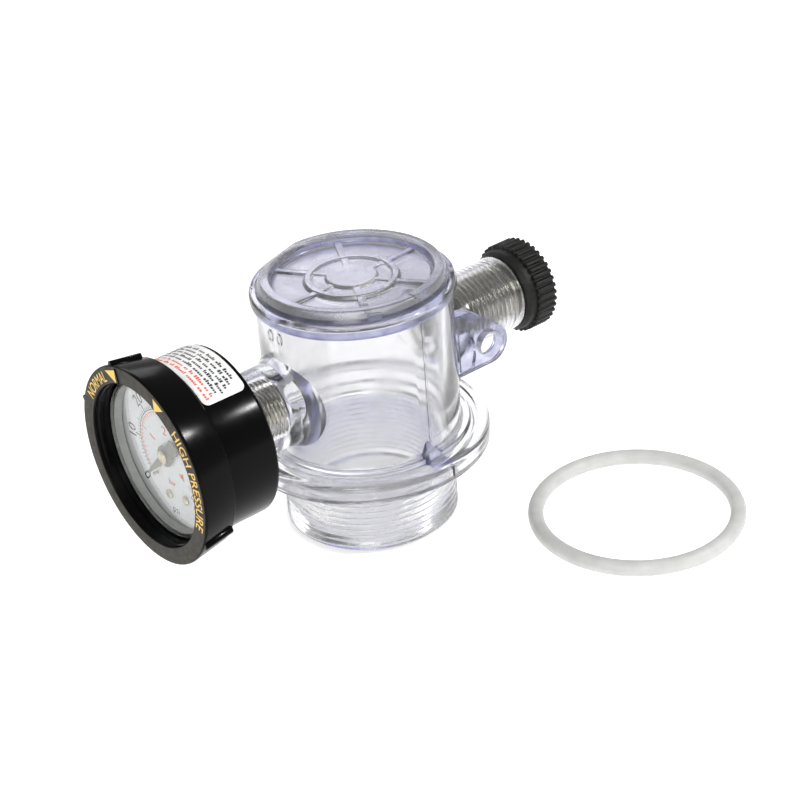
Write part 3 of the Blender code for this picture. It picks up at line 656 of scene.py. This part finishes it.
CAP_BASE_Z = 86.5
CAP_FLOOR_Z = 88.9
CAP_RING_Z = 92.35
CAP_WELL_R = 27.1
CAP_FLAT_DISTANCE = 28.7
CAP_FLAT_ANGLE = 109.0
RIB_HALF_WIDTH = 1.3


def top_cap():
    floor = CAP_FLOOR_Z
    shape = rounded([
        (0.0, floor + 0.9, 0.0), (8.2, floor + 1.4, 0.6), (9.0, floor + 0.5, 0.6),
        (13.0, floor + 0.5, 0.6), (13.7, floor + 1.3, 0.5), (15.5, floor + 1.3, 0.5),
        (16.2, floor, 0.6), (26.6, floor, 1.4),
        (27.3, CAP_RING_Z, 0.6), (30.5, CAP_RING_Z, 1.0), (31.4, 89.9, 0.6), (31.9, 89.0, 0.3),
        (31.98, CAP_BASE_Z, 0.3), (0.0, CAP_BASE_Z, 0.0)], closed=False)
    cap = piece("top_cap_moulding", lathe(shape, BODY_STEPS, phase=0.005), BODY, CLEAR)
    ribs = []
    for index in range(3):
        low = (-26.9, -RIB_HALF_WIDTH, floor - 0.6)
        high = (26.9, RIB_HALF_WIDTH, floor + 0.95)
        rib = piece(f"rib_tool_{index}", block(low, high, 60.0 * index + 2.0), BODY, None)
        bevelled(rib, 0.35)
        ribs.append(rib)
    key = piece("key_tool", block((28.6, -2.4, 87.5), (31.9, 2.4, 91.4), -115.0), BODY, None)
    bevelled(key, 0.4)
    boolean(cap, [*ribs, key], "UNION")
    flat = block((CAP_FLAT_DISTANCE, -40.0, 89.2), (50.0, 40.0, 96.0), CAP_FLAT_ANGLE)
    flat = piece("flat_tool", flat, BODY, None)
    seam = piece("seam_tool", block((27.4, -0.22, 91.2), (33.0, 0.22, 94.0), SEAM_ANGLE), BODY, None)
    boolean(cap, [flat, seam], "DIFFERENCE")
    paint_where(cap, FROSTED, lambda spot: spot.z > floor - 0.3 and spot.xy.length < CAP_WELL_R)
    paint_where(cap, HAZY, lambda spot: spot.z > floor + 0.1 and spot.xy.length > CAP_WELL_R)
    # Painted shade: the cap's outer rim gets the darker blue edge material.
    paint_where(cap, EDGE_SHADE, lambda spot: 86.6 < spot.z < 91.0 and spot.xy.length > 31.2)
    return finish_piece(cap, "head", "top_cap")


# ---------------------------------------------------------------- flange ring

def flange_ring():
    centre = (RING_LOW + RING_HIGH) / 2 / MM
    section = (RING_HIGH.z - RING_LOW.z) / 2 / MM
    radius = (RING_HIGH.x - RING_LOW.x) / 2 / MM - section
    angles = [-2 * math.pi * index / 24 for index in range(24)]
    profile = [(radius + section * math.cos(angle), section * math.sin(angle)) for angle in angles]
    place = Matrix.Translation(centre * MM) @ Matrix.Scale(MM, 4)
    made = piece("flange_ring_seal", lathe(profile, 144), place, WHITE)
    return finish_piece(made, "flange_ring", "flange_o_ring")


# ---------------------------------------------------------------- gauge

CASE_STEPS = 144
CASE_MOUTH_R = 27.9
CASE_BORE_R = 25.8
CASE_LEDGE_X = -76.5
SOCKET_HOLE_R = 5.3
SCREW_REACH = 10.4
BEZEL_BORE_R = 27.9
BEZEL_BEAD_R = 27.45
GRIP_CLOCKS = (-70.0, -20.0, 119.0)
GRIP_R = 35.3
GRIP_TAPER = 1.5
RECESS_CLOCKS = (-14.6, 23.0)


def gauge_case():
    shape = rounded([
        (SOCKET_HOLE_R, CASE_BACK_X, 0.2), (CASE_R, CASE_BACK_X, 1.4), (CASE_R, CASE_FRONT_X, 0.3),
        (CASE_MOUTH_R, CASE_FRONT_X, 0.3), (CASE_MOUTH_R, CASE_LEDGE_X, 0.0),
        (CASE_BORE_R, CASE_LEDGE_X, 0.0), (CASE_BORE_R, CASE_BACK_X - 2.0, 0.6),
        (SOCKET_HOLE_R, CASE_BACK_X - 2.0, 0.2)])
    made = piece("gauge_case_cup", lathe(shape, CASE_STEPS), GAUGE, BLACK)
    holes = [piece(f"screw_tool_{side}",
                   lathe([(0.0, -52.0), (1.5, -52.0), (1.5, -61.0), (0.0, -61.0)], 20),
                   GAUGE @ Matrix.Translation((0.0, side * SCREW_REACH, 0.0)), None) for side in (-1, 1)]
    boolean(made, holes, "DIFFERENCE")
    return finish_piece(made, "head", "gauge_case")


def bezel():
    shape = rounded([
        (31.9, BEZEL_REAR_X, 0.3), (32.3, BEZEL_REAR_X - 0.4, 0.3), (34.2, FACE_X, 0.9),
        (BEZEL_BORE_R, FACE_X, 0.7), (BEZEL_BORE_R, -86.4, 0.2), (BEZEL_BEAD_R, -86.0, 0.2),
        (BEZEL_BEAD_R, -85.4, 0.2), (BEZEL_BORE_R, -85.0, 0.2), (BEZEL_BORE_R, -84.3, 0.2),
        (29.65, -84.3, 0.2), (29.65, BEZEL_REAR_X, 0.2)])
    made = piece("bezel_ring_moulding", lathe(shape, CASE_STEPS), GAUGE, BLACK)
    grips = []
    for index, clock in enumerate(GRIP_CLOCKS):
        outline = [(31.0, -1.5), (34.2, -1.2), (GRIP_R, -0.6), (GRIP_R, 0.8), (31.0, 0.8)]
        bar = flat_plate(outline, FACE_X + 0.5, BEZEL_REAR_X - 0.9)
        for vert in bar.verts:
            if vert.co.z > FACE_X + 1.0:
                vert.co.x -= GRIP_TAPER
        turn = Matrix.Rotation(math.radians(180.0 + clock), 4, "Z")
        grip = piece(f"grip_tool_{index}", bar, GAUGE @ turn, None)
        bevelled(grip, 0.3)
        grips.append(grip)
    boolean(made, grips, "UNION")
    recess = sector_plate(27.0, 33.3, *RECESS_CLOCKS, FACE_X - 1.0, FACE_X + 0.45)
    boolean(made, [piece("recess_tool", recess, GAUGE, None)], "DIFFERENCE")
    made.data.materials.append(BEZEL_FACE)
    face_end = (FACE_X + AXIS_X + 0.8) * MM
    for polygon in made.data.polygons:
        if abs(polygon.normal.x) > 0.9 and polygon.center.x < face_end:
            polygon.material_index = 1
    return finish_piece(made, "bezel", "bezel_ring")


def sector_plate(inner, outer, start, end, low, high, count=14):
    """A piece of a flat ring between two clock angles."""
    outline = [on_clock(start + (end - start) * k / count, outer) for k in range(count + 1)]
    outline += [on_clock(end + (start - end) * k / count, inner) for k in range(count + 1)]
    return flat_plate(outline, low, high)


def text_mesh(words, size, weight=0.0):
    """Lettering as a flat mesh in millimetres, centred along X, with its baseline at y = 0."""
    curve = bpy.data.curves.new("words", "FONT")
    curve.body = words
    curve.size = size
    curve.offset = weight
    curve.extrude = 0.05
    curve.resolution_u = 3
    curve.align_x = "CENTER"
    draft = bpy.data.objects.new("words", curve)
    bpy.context.scene.collection.objects.link(draft)
    bpy.context.view_layer.update()
    mesh = bpy.data.meshes.new_from_object(draft.evaluated_get(bpy.context.evaluated_depsgraph_get()))
    bm = bmesh.new()
    bm.from_mesh(mesh)
    bmesh.ops.remove_doubles(bm, verts=bm.verts, dist=0.0005)
    bpy.data.objects.remove(draft)
    bpy.data.meshes.remove(mesh)
    return bm


def arc_lettering(name, words, size, clock, radius, level, mat, body, weight=0.0, stretch=1.0):
    """Lettering that runs clockwise round the face, with its tops outwards."""
    bm = text_mesh(words, size, weight)
    for vert in bm.verts:
        angle = clock + math.degrees(vert.co.x * stretch / radius)
        x, y = on_clock(angle, radius + vert.co.y)
        vert.co = Vector((x, y, level - vert.co.z))
    return finish_piece(piece(name, bm, GAUGE, mat), body)


BEZEL_MARKS = (("bezel_mark_normal", "NORMAL", -44.5, 0.76),
               ("bezel_mark_high", "HIGH PRESSURE", 77.5, 0.90))
BEZEL_LETTER_SIZE = 5.2
BEZEL_LETTER_R = 29.0


def bezel_markings():
    for name, words, clock, stretch in BEZEL_MARKS:
        arc_lettering(name, words, BEZEL_LETTER_SIZE, clock, BEZEL_LETTER_R, FACE_X + 0.03, YELLOW_PAINT,
                      "bezel", 0.02, stretch)
    first = [on_clock(-26.0, 32.6), on_clock(-15.2, 32.6), on_clock(-17.2, 28.2)]
    second = [on_clock(23.2, 32.4), on_clock(33.0, 32.4), on_clock(26.5, 28.2)]
    for name, corners in (("bezel_wedge_normal", first), ("bezel_wedge_high", second)):
        made = piece(name, flat_plate(corners, FACE_X - 0.03, FACE_X + 0.05), GAUGE, YELLOW_PAINT)
        finish_piece(made, "bezel")


def lens():
    shape = rounded([
        (0.0, LENS_X + 1.6, 0.0), (26.5, LENS_X + 1.6, 0.6), (25.5, DIAL_X - 0.4, 0.0),
        (27.4, DIAL_X - 0.4, 0.0),
        (27.4, LENS_X, 0.6), (0.0, LENS_X, 0.0)], closed=False)
    made = piece("lens_window", lathe(shape, CASE_STEPS), GAUGE, LENS)
    made.data.materials.append(LENS_SKIRT)
    window_back = (LENS_X + 1.0 + AXIS_X) * MM
    for polygon in made.data.polygons:
        if polygon.center.x > window_back and abs(polygon.normal.x) < 0.5:
            polygon.material_index = 1
    return finish_piece(made, "head", "lens")


SCALE_START = -133.0
SCALE_SWEEP = 270.0
FULL_PSI = 60.0
PSI_PER_BAR = 14.504
DIAL_R = 26.2
PSI_TICK_R = 15.4
BAR_TICK_R = 14.6
PSI_NUMBER_R = 18.4
BAR_NUMBER_R = 7.2


def dial_clock(psi):
    return SCALE_START + SCALE_SWEEP * psi / FULL_PSI


def tick(inner, outer, clock, width, level):
    """One printed line of the scale."""
    half = math.degrees(width / 2 / ((inner + outer) / 2))
    corners = [on_clock(clock - half, inner), on_clock(clock + half, inner),
               on_clock(clock + half, outer),
               on_clock(clock - half, outer)]
    return flat_plate(corners, level - 0.05, level + 0.03)


def merge(meshes):
    """Several bmeshes as one."""
    whole = bmesh.new()
    for part in meshes:
        mesh = bpy.data.meshes.new("part")
        part.to_mesh(mesh)
        part.free()
        whole.from_mesh(mesh)
        bpy.data.meshes.remove(mesh)
    return whole


def dial():
    level = DIAL_X
    disc = rounded([(1.6, DIAL_X + 0.6, 0.0), (DIAL_R, DIAL_X + 0.6, 0.0), (DIAL_R, DIAL_X, 0.15),
                    (1.6, DIAL_X, 0.0)])
    finish_piece(piece("dial_disc", lathe(disc, 96), GAUGE, DIAL_WHITE), "head", "dial_plate")
    black = [sector_plate(15.3, 15.55, dial_clock(0), dial_clock(60), level - 0.05, level + 0.03, 90)]
    for psi in range(61):
        end = 18.4 if psi % 10 == 0 else (17.4 if psi % 5 == 0 else 16.7)
        black.append(tick(PSI_TICK_R, end, dial_clock(psi), 0.36 if psi % 10 == 0 else 0.2, level))
    red = [sector_plate(14.5, 14.72, dial_clock(0), dial_clock(58.02), level - 0.05, level + 0.03, 90)]
    for tenth in range(41):
        clock = dial_clock(tenth / 10 * PSI_PER_BAR)
        start = 12.2 if tenth % 10 == 0 else (12.9 if tenth % 5 == 0 else 13.5)
        red.append(tick(start, BAR_TICK_R, clock, 0.3 if tenth % 10 == 0 else 0.18, level))
    finish_piece(piece("dial_scale_black", merge(black), GAUGE, BLACK_INK), "head")
    finish_piece(piece("dial_scale_red", merge(red), GAUGE, RED_INK), "head")
    for psi in range(0, 61, 10):
        arc_lettering(f"dial_number_{psi}", str(psi), 6.0, dial_clock(psi), PSI_NUMBER_R, level,
                      BLACK_INK, "head", 0.02, 0.85)
    for bar in range(5):
        arc_lettering(f"dial_red_number_{bar}", str(bar), 4.4, dial_clock(bar * PSI_PER_BAR),
                      BAR_NUMBER_R, level, RED_INK, "head", 0.01)
    flat_lettering("dial_unit_black", "psi", 3.6, (0.0, -22.0), level, BLACK_INK)
    flat_lettering("dial_unit_red", "bar", 3.0, (0.0, -11.5), level, RED_INK)


def flat_lettering(name, words, size, place, level, mat):
    """Upright lettering, seen from the gauge's face; place is across and up, in millimetres."""
    bm = text_mesh(words, size)
    for vert in bm.verts:
        across = place[0] + vert.co.x
        up = place[1] + vert.co.y
        vert.co = Vector((-up, -across, level - vert.co.z))
    return finish_piece(piece(name, bm, GAUGE, mat), "head")


def pointer():
    outline = [(2.2, -1.5), (9.0, -0.95), (16.2, -0.3), (16.8, 0.0), (16.2, 0.3), (9.0, 0.95), (2.2, 1.5)]
    outline += arc((0.0, 0.0), 3.6, 40.0, 130.0, 8)
    outline += [(-4.6, 2.2), (-8.2, 2.9)]
    outline += arc((-6.0, 0.0), 3.6, 130.0, 230.0, 10)
    outline += [(-8.2, -2.9), (-4.6, -2.2)]
    outline += arc((0.0, 0.0), 3.6, 230.0, 320.0, 8)
    turn = Matrix.Rotation(math.radians(180.0 + SCALE_START), 4, "Z")
    made = piece("pointer_hand", flat_plate(outline, *POINTER_X), GAUGE @ turn, POINTER_PAINT)
    eye = piece("eye_tool", lathe([(0.0, -70.0), (1.0, -70.0), (1.0, -90.0), (0.0, -90.0)], 24), GAUGE,
                None)
    boolean(made, [eye], "DIFFERENCE")
    bevelled(made, 0.08, 1)
    finish_piece(made, "pointer", "pointer")
    front = POINTER_X[0] - 0.3
    hub = rounded([(0.0, front, 0.0), (2.3, front, 0.15), (2.3, front - 0.6, 0.2),
                   (1.2, front - 1.08, 0.2),
                   (0.0, front - 1.08, 0.0)], closed=False)
    finish_piece(piece("pointer_boss", lathe(hub, 40), GAUGE, BRASS), "pointer", "pointer_hub")


LABEL_CLOCKS = (-42.0, 39.0)
LABEL_X = (-73.6, -57.8)
LABEL_CORNER = 2.2
LABEL_LINES = 7
RED_LINES = 2
LETTER_GAP = 0.22


def wrapped_patch(u_range, v_range, radius, corner, columns, thickness):
    """A thin patch on the case with rounded corners, u millimetres round it and v along its axis."""
    u0, u1 = u_range
    v0, v1 = v_range
    bm = bmesh.new()
    layers = []
    for depth in (0.0, thickness):
        top, bottom = [], []
        for k in range(columns + 1):
            share = 0.5 - 0.5 * math.cos(math.pi * k / columns) if corner else k / columns
            u = u0 + (u1 - u0) * share
            inset = 0.0
            edge = min(u - u0, u1 - u)
            if corner and edge < corner:
                inset = corner - math.sqrt(max(0.0, corner ** 2 - (corner - edge) ** 2))
            x, y = on_clock(math.degrees(u / CASE_R), radius + depth)
            top.append(bm.verts.new((x, y, v1 - inset)))
            bottom.append(bm.verts.new((x, y, v0 + inset)))
        layers.append((top, bottom))
    (in_top, in_bottom), (out_top, out_bottom) = layers
    for k in range(columns):
        bm.faces.new((out_top[k], out_top[k + 1], out_bottom[k + 1], out_bottom[k]))
        bm.faces.new((in_top[k], in_bottom[k], in_bottom[k + 1], in_top[k + 1]))
        bm.faces.new((out_top[k], in_top[k], in_top[k + 1], out_top[k + 1]))
        bm.faces.new((out_bottom[k], out_bottom[k + 1], in_bottom[k + 1], in_bottom[k]))
    for k in (0, columns):
        bm.faces.new((out_top[k], out_bottom[k], in_bottom[k], in_top[k]))
    return bm


def spec_label():
    """A sticker whose small print is rows of plain marks, not letters."""
    u_range = [math.radians(clock) * CASE_R for clock in LABEL_CLOCKS]
    patch = wrapped_patch(u_range, LABEL_X, CASE_R + 0.12, LABEL_CORNER, 64, 0.16)
    finish_piece(piece("label_sheet", patch, GAUGE, LABEL_WHITE), "head", "spec_label")
    pick = random.Random(7)
    pitch = (LABEL_X[1] - LABEL_X[0] - 2.6) / LABEL_LINES
    black, red = [], []
    for line in range(LABEL_LINES):
        ink = red if line < RED_LINES else black
        v = LABEL_X[0] + 1.7 + pitch * line
        height = pitch * 0.62
        u = u_range[0] + 2.0
        last = u_range[1] - (1.8 if line < 5 else 3.5)
        while u < last - 1.0:
            word = min(pick.uniform(1.6, 6.5), last - u)
            while word > 0.4:
                letter = min(word, pick.uniform(0.5, 0.95))
                rise = pick.choice((0.62, 0.62, 1.0))
                ink.append(wrapped_patch((u, u + letter), (v, v + height * rise), CASE_R + 0.27, 0.0, 1,
                                         0.03))
                u += letter + LETTER_GAP
                word -= letter + LETTER_GAP
            u += 0.8
    finish_piece(piece("label_print_black", merge(black), GAUGE, BLACK_INK), "head")
    finish_piece(piece("label_print_red", merge(red), GAUGE, RED_INK), "head")


HEX_FRONT = -53.4
SOCKET_R = 6.5
SOCKET_ROOT_R = 5.75
SOCKET_THREAD = (-52.9, -38.2)


def gauge_socket():
    """The threaded stem and hexagon; the block inside the case stays with it."""
    profile = [(0.0, HEX_FRONT), (SOCKET_R, HEX_FRONT), (SOCKET_R, SOCKET_THREAD[0])]
    profile += threaded_run(SOCKET_R, *SOCKET_THREAD, GAUGE_PITCH)[::-1]
    profile += [(5.6, -37.0), (5.4, -36.0), (1.4, -36.0), (1.4, -44.0), (0.0, -44.0)]
    wave = helix(SOCKET_R, SOCKET_ROOT_R, *SOCKET_THREAD, GAUGE_PITCH, 0.7, 0.35)
    stem = piece("gauge_stem", lathe(profile, 64, wave), GAUGE, STEM_METAL)
    flats = rounded([(0.0, -53.3, 0.0), (8.1, -53.3, 0.3), (8.1, -55.6, 0.3), (0.0, -55.6, 0.0)],
                    closed=False)
    hexagon = piece("hex_tool", lathe(flats, 6), GAUGE, None)
    shank = piece("shank_tool", lathe([(0.0, -55.0), (5.0, -55.0), (5.0, -60.0), (0.0, -60.0)], 40),
                  GAUGE, None)
    upright = piece("upright_tool", block((-6.0, -5.5, -67.0), (21.0, 5.5, -59.0)), GAUGE, None)
    ears = piece("ears_tool", block((-4.0, -13.2, -64.0), (4.0, 13.2, -59.4)), GAUGE, None)
    boolean(stem, [hexagon, shank, upright, ears], "UNION")
    bores = [piece(f"ear_tool_{side}",
                   lathe([(0.0, -57.0), (1.5, -57.0), (1.5, -63.2), (0.0, -63.2)], 16),
                   GAUGE @ Matrix.Translation((0.0, side * SCREW_REACH, 0.0)), None) for side in (-1, 1)]
    boolean(stem, bores, "DIFFERENCE")
    return finish_piece(stem, "head", "gauge_socket")


# ---------------------------------------------------------------- relief valve

KNOB_TEETH = 38
KNOB_RIM_X = 68.0
TOOTH_SHAPE = ((-0.36, 15.25), (-0.24, 16.05), (-0.12, 16.25), (0.12, 16.25), (0.24, 16.05),
               (0.36, 15.25))
STEM_R = 8.7
STEM_ROOT_R = 7.7
STEM_THREAD = (42.0, 62.2)


def relief_stem():
    profile = rounded([(0.0, 71.0, 0.0), (5.4, 71.0, 0.4), (5.4, 62.7, 0.2), (STEM_R, 62.7, 0.2)],
                      closed=False)
    profile += threaded_run(STEM_R, *STEM_THREAD, VALVE_PITCH, 10)
    profile += [(8.0, 41.0), (5.7, 41.0), (5.7, 38.2), (4.6, 38.2)]
    profile += [(4.6, 36.0), (5.7, 36.0), (5.7, 34.4), (0.0, 34.4)]
    wave = helix(STEM_R, STEM_ROOT_R, *STEM_THREAD, VALVE_PITCH, 0.6, 0.5)
    made = piece("relief_stem_screw", lathe(profile, 96, wave), VALVE, STEM_METAL)
    return finish_piece(made, "relief_screw", "relief_stem")


def relief_knob():
    pitch = 360.0 / KNOB_TEETH
    outline = []
    for tooth in range(KNOB_TEETH):
        for share, radius in TOOTH_SHAPE:
            angle = math.radians((tooth + share) * pitch)
            outline.append((radius * math.cos(angle), radius * math.sin(angle)))
    knob = piece("relief_knob_moulding", flat_plate(outline, KNOB_RIM_X, KNOB_END_X), VALVE, KNOB)
    bevelled(knob, 0.22, 2, 50.0)
    collar = rounded([
        (0.0, 70.0, 0.0), (14.9, 70.0, 0.0), (14.9, KNOB_RIM_X, 0.4), (14.6, 65.6, 1.0),
        (13.2, KNOB_REAR_X, 0.8),
        (0.0, KNOB_REAR_X, 0.0)], closed=False)
    collar = piece("collar_tool", lathe(collar, 96), VALVE, None)
    boolean(knob, [collar], "UNION")
    dish = rounded([(0.0, 80.0, 0.0), (13.2, 80.0, 0.0), (12.6, 74.9, 0.8), (4.5, 74.9, 0.5),
                    (4.2, 75.7, 0.3),
                    (0.0, 75.7, 0.0)], closed=False)
    tools = [piece("dish_tool", lathe(dish, 96), VALVE, None),
             piece("socket_tool", lathe([(0.0, 60.0), (5.8, 60.0), (5.8, 71.4), (0.0, 71.4)], 48), VALVE,
                   None)]
    boolean(knob, tools, "DIFFERENCE")
    return finish_piece(knob, "relief_screw", "relief_knob")


# ---------------------------------------------------------------- carried-over pieces

def carried_nodes():
    looks = {
        BRASS: ("tube_tip", "movement_back_plate", "movement_front_plate", "movement_pillar_upper",
                "movement_pillar_lower", "sector_gear", "pinion_arbor", "dial_screw_left",
                "dial_screw_right",
                "pointer_stop_pin"),
        BRONZE: ("bourdon_tube", "hairspring"),
        STEEL: ("case_screw_left", "case_screw_right", "link_bar"),
        RUBBER: ("lens_gasket", "stem_o_ring", "stem_tip_seal"),
    }
    for mat, names in looks.items():
        for name in names:
            NODES[name].data.materials.clear()
            NODES[name].data.materials.append(mat)


# ---------------------------------------------------------------- studio

CAMERA_AZIMUTH = -36.2
CAMERA_ELEVATION = 29.9
CAMERA_ROLL = -5.4
FOCAL_PIXELS = 1994.0
PIXELS_PER_MM = 2.94
FRAME_WIDTH = 799
AIM_Z = 45.0
AIM_SHIFT = (0.046, -0.0082)
FLOOR_Z = -0.0002
GLOW_INSIDE = 0.60
GLOW_OUTSIDE = 0.92
# Height and brightness of the sky's grey.
SKY = ((0.0, 1.3), (0.10, 1.2), (0.30, 0.9), (0.60, 0.85), (1.0, 1.0))
SKY_STRENGTH = 0.5


def camera():
    azimuth = math.radians(CAMERA_AZIMUTH)
    elevation = math.radians(CAMERA_ELEVATION)
    back = Vector((math.sin(azimuth) * math.cos(elevation), -math.cos(azimuth) * math.cos(elevation),
                   math.sin(elevation)))
    target = Vector((AXIS_X, AXIS_Y, AIM_Z)) * MM
    data = bpy.data.cameras.new("camera")
    data.sensor_width = 36.0
    data.lens = FOCAL_PIXELS * data.sensor_width / FRAME_WIDTH
    data.shift_x, data.shift_y = AIM_SHIFT
    data.clip_start = 0.01
    made = bpy.data.objects.new("camera", data)
    bpy.context.scene.collection.objects.link(made)
    made.location = target + back * (FOCAL_PIXELS / PIXELS_PER_MM * MM)
    made.rotation_mode = "QUATERNION"
    facing = back.to_track_quat("Z", "Y")
    made.rotation_quaternion = facing @ Matrix.Rotation(math.radians(CAMERA_ROLL), 3, "Z").to_quaternion()
    bpy.context.scene.camera = made


def floor():
    """A white floor that glows, except in the shade inside the neck."""
    bm = bmesh.new()
    bmesh.ops.create_grid(bm, x_segments=1, y_segments=1, size=3.0)
    mat = new_material("studio_floor", (0.5, 0.5, 0.5), 0.9, Emission_Color=(1.0, 1.0, 1.0, 1.0))
    tree = mat.node_tree
    place = tree.nodes.new("ShaderNodeTexCoord")
    reach = tree.nodes.new("ShaderNodeVectorMath")
    reach.operation = "DISTANCE"
    reach.inputs[1].default_value = (AXIS_X * MM, AXIS_Y * MM, FLOOR_Z)
    glow = add_node(mat, "ShaderNodeMapRange", From_Min=NECK_CREST_R * MM,
                    From_Max=(NECK_CREST_R + 3.0) * MM,
                    To_Min=GLOW_INSIDE, To_Max=GLOW_OUTSIDE)
    tree.links.new(place.outputs["Object"], reach.inputs[0])
    tree.links.new(reach.outputs["Value"], glow.inputs["Value"])
    tree.links.new(glow.outputs["Result"], shader_of(mat).inputs["Emission Strength"])
    made = piece("studio_floor", bm, Matrix.Translation((0.0, 0.0, FLOOR_Z)), mat)


def area_light(name, place, aim, size, watts):
    data = bpy.data.lights.new(name, "AREA")
    data.shape = "RECTANGLE"
    data.size, data.size_y = size
    data.energy = watts
    made = bpy.data.objects.new(name, data)
    bpy.context.scene.collection.objects.link(made)
    made.location = place
    made.rotation_mode = "QUATERNION"
    made.rotation_quaternion = (Vector(place) - Vector(aim)).to_track_quat("Z", "Y")


def world():
    studio = bpy.data.worlds.new("studio")
    studio.use_nodes = True
    tree = studio.node_tree
    background = tree.nodes["Background"]
    place = tree.nodes.new("ShaderNodeTexCoord")
    split = tree.nodes.new("ShaderNodeSeparateXYZ")
    ramp = tree.nodes.new("ShaderNodeValToRGB")
    ramp.color_ramp.elements[0].position = SKY[0][0]
    ramp.color_ramp.elements[1].position = SKY[-1][0]
    for position, _ in SKY[1:-1]:
        ramp.color_ramp.elements.new(position)
    for element, (_, value) in zip(ramp.color_ramp.elements, SKY):
        element.color = (value, value, value, 1.0)
    tree.links.new(place.outputs["Generated"], split.inputs["Vector"])
    tree.links.new(split.outputs["Z"], ramp.inputs["Fac"])
    tree.links.new(ramp.outputs["Color"], background.inputs["Color"])
    background.inputs["Strength"].default_value = SKY_STRENGTH
    bpy.context.scene.world = studio


def studio():
    camera()
    floor()
    world()
    area_light("key", (0.51, -0.57, 0.68), (0.0, 0.03, 0.05), (0.05, 0.05), 5.0)
    area_light("front", (-0.55, -0.5, 0.45), (0.0, 0.0, 0.05), (0.4, 0.4), 3.4)
    area_light("back", (0.1, 0.8, 0.6), (0.0, 0.0, 0.04), (0.9, 0.3), 2.4)
    scene = bpy.context.scene
    scene.view_settings.view_transform = "Standard"
    scene.cycles.max_bounces = 20
    scene.cycles.transmission_bounces = 20
    scene.cycles.transparent_max_bounces = 12
    scene.cycles.caustics_reflective = False


studio()
clear_body()
top_cap()
flange_ring()
gauge_case()
bezel()
bezel_markings()
lens()
dial()
pointer()
spec_label()
gauge_socket()
relief_stem()
relief_knob()
carried_nodes()
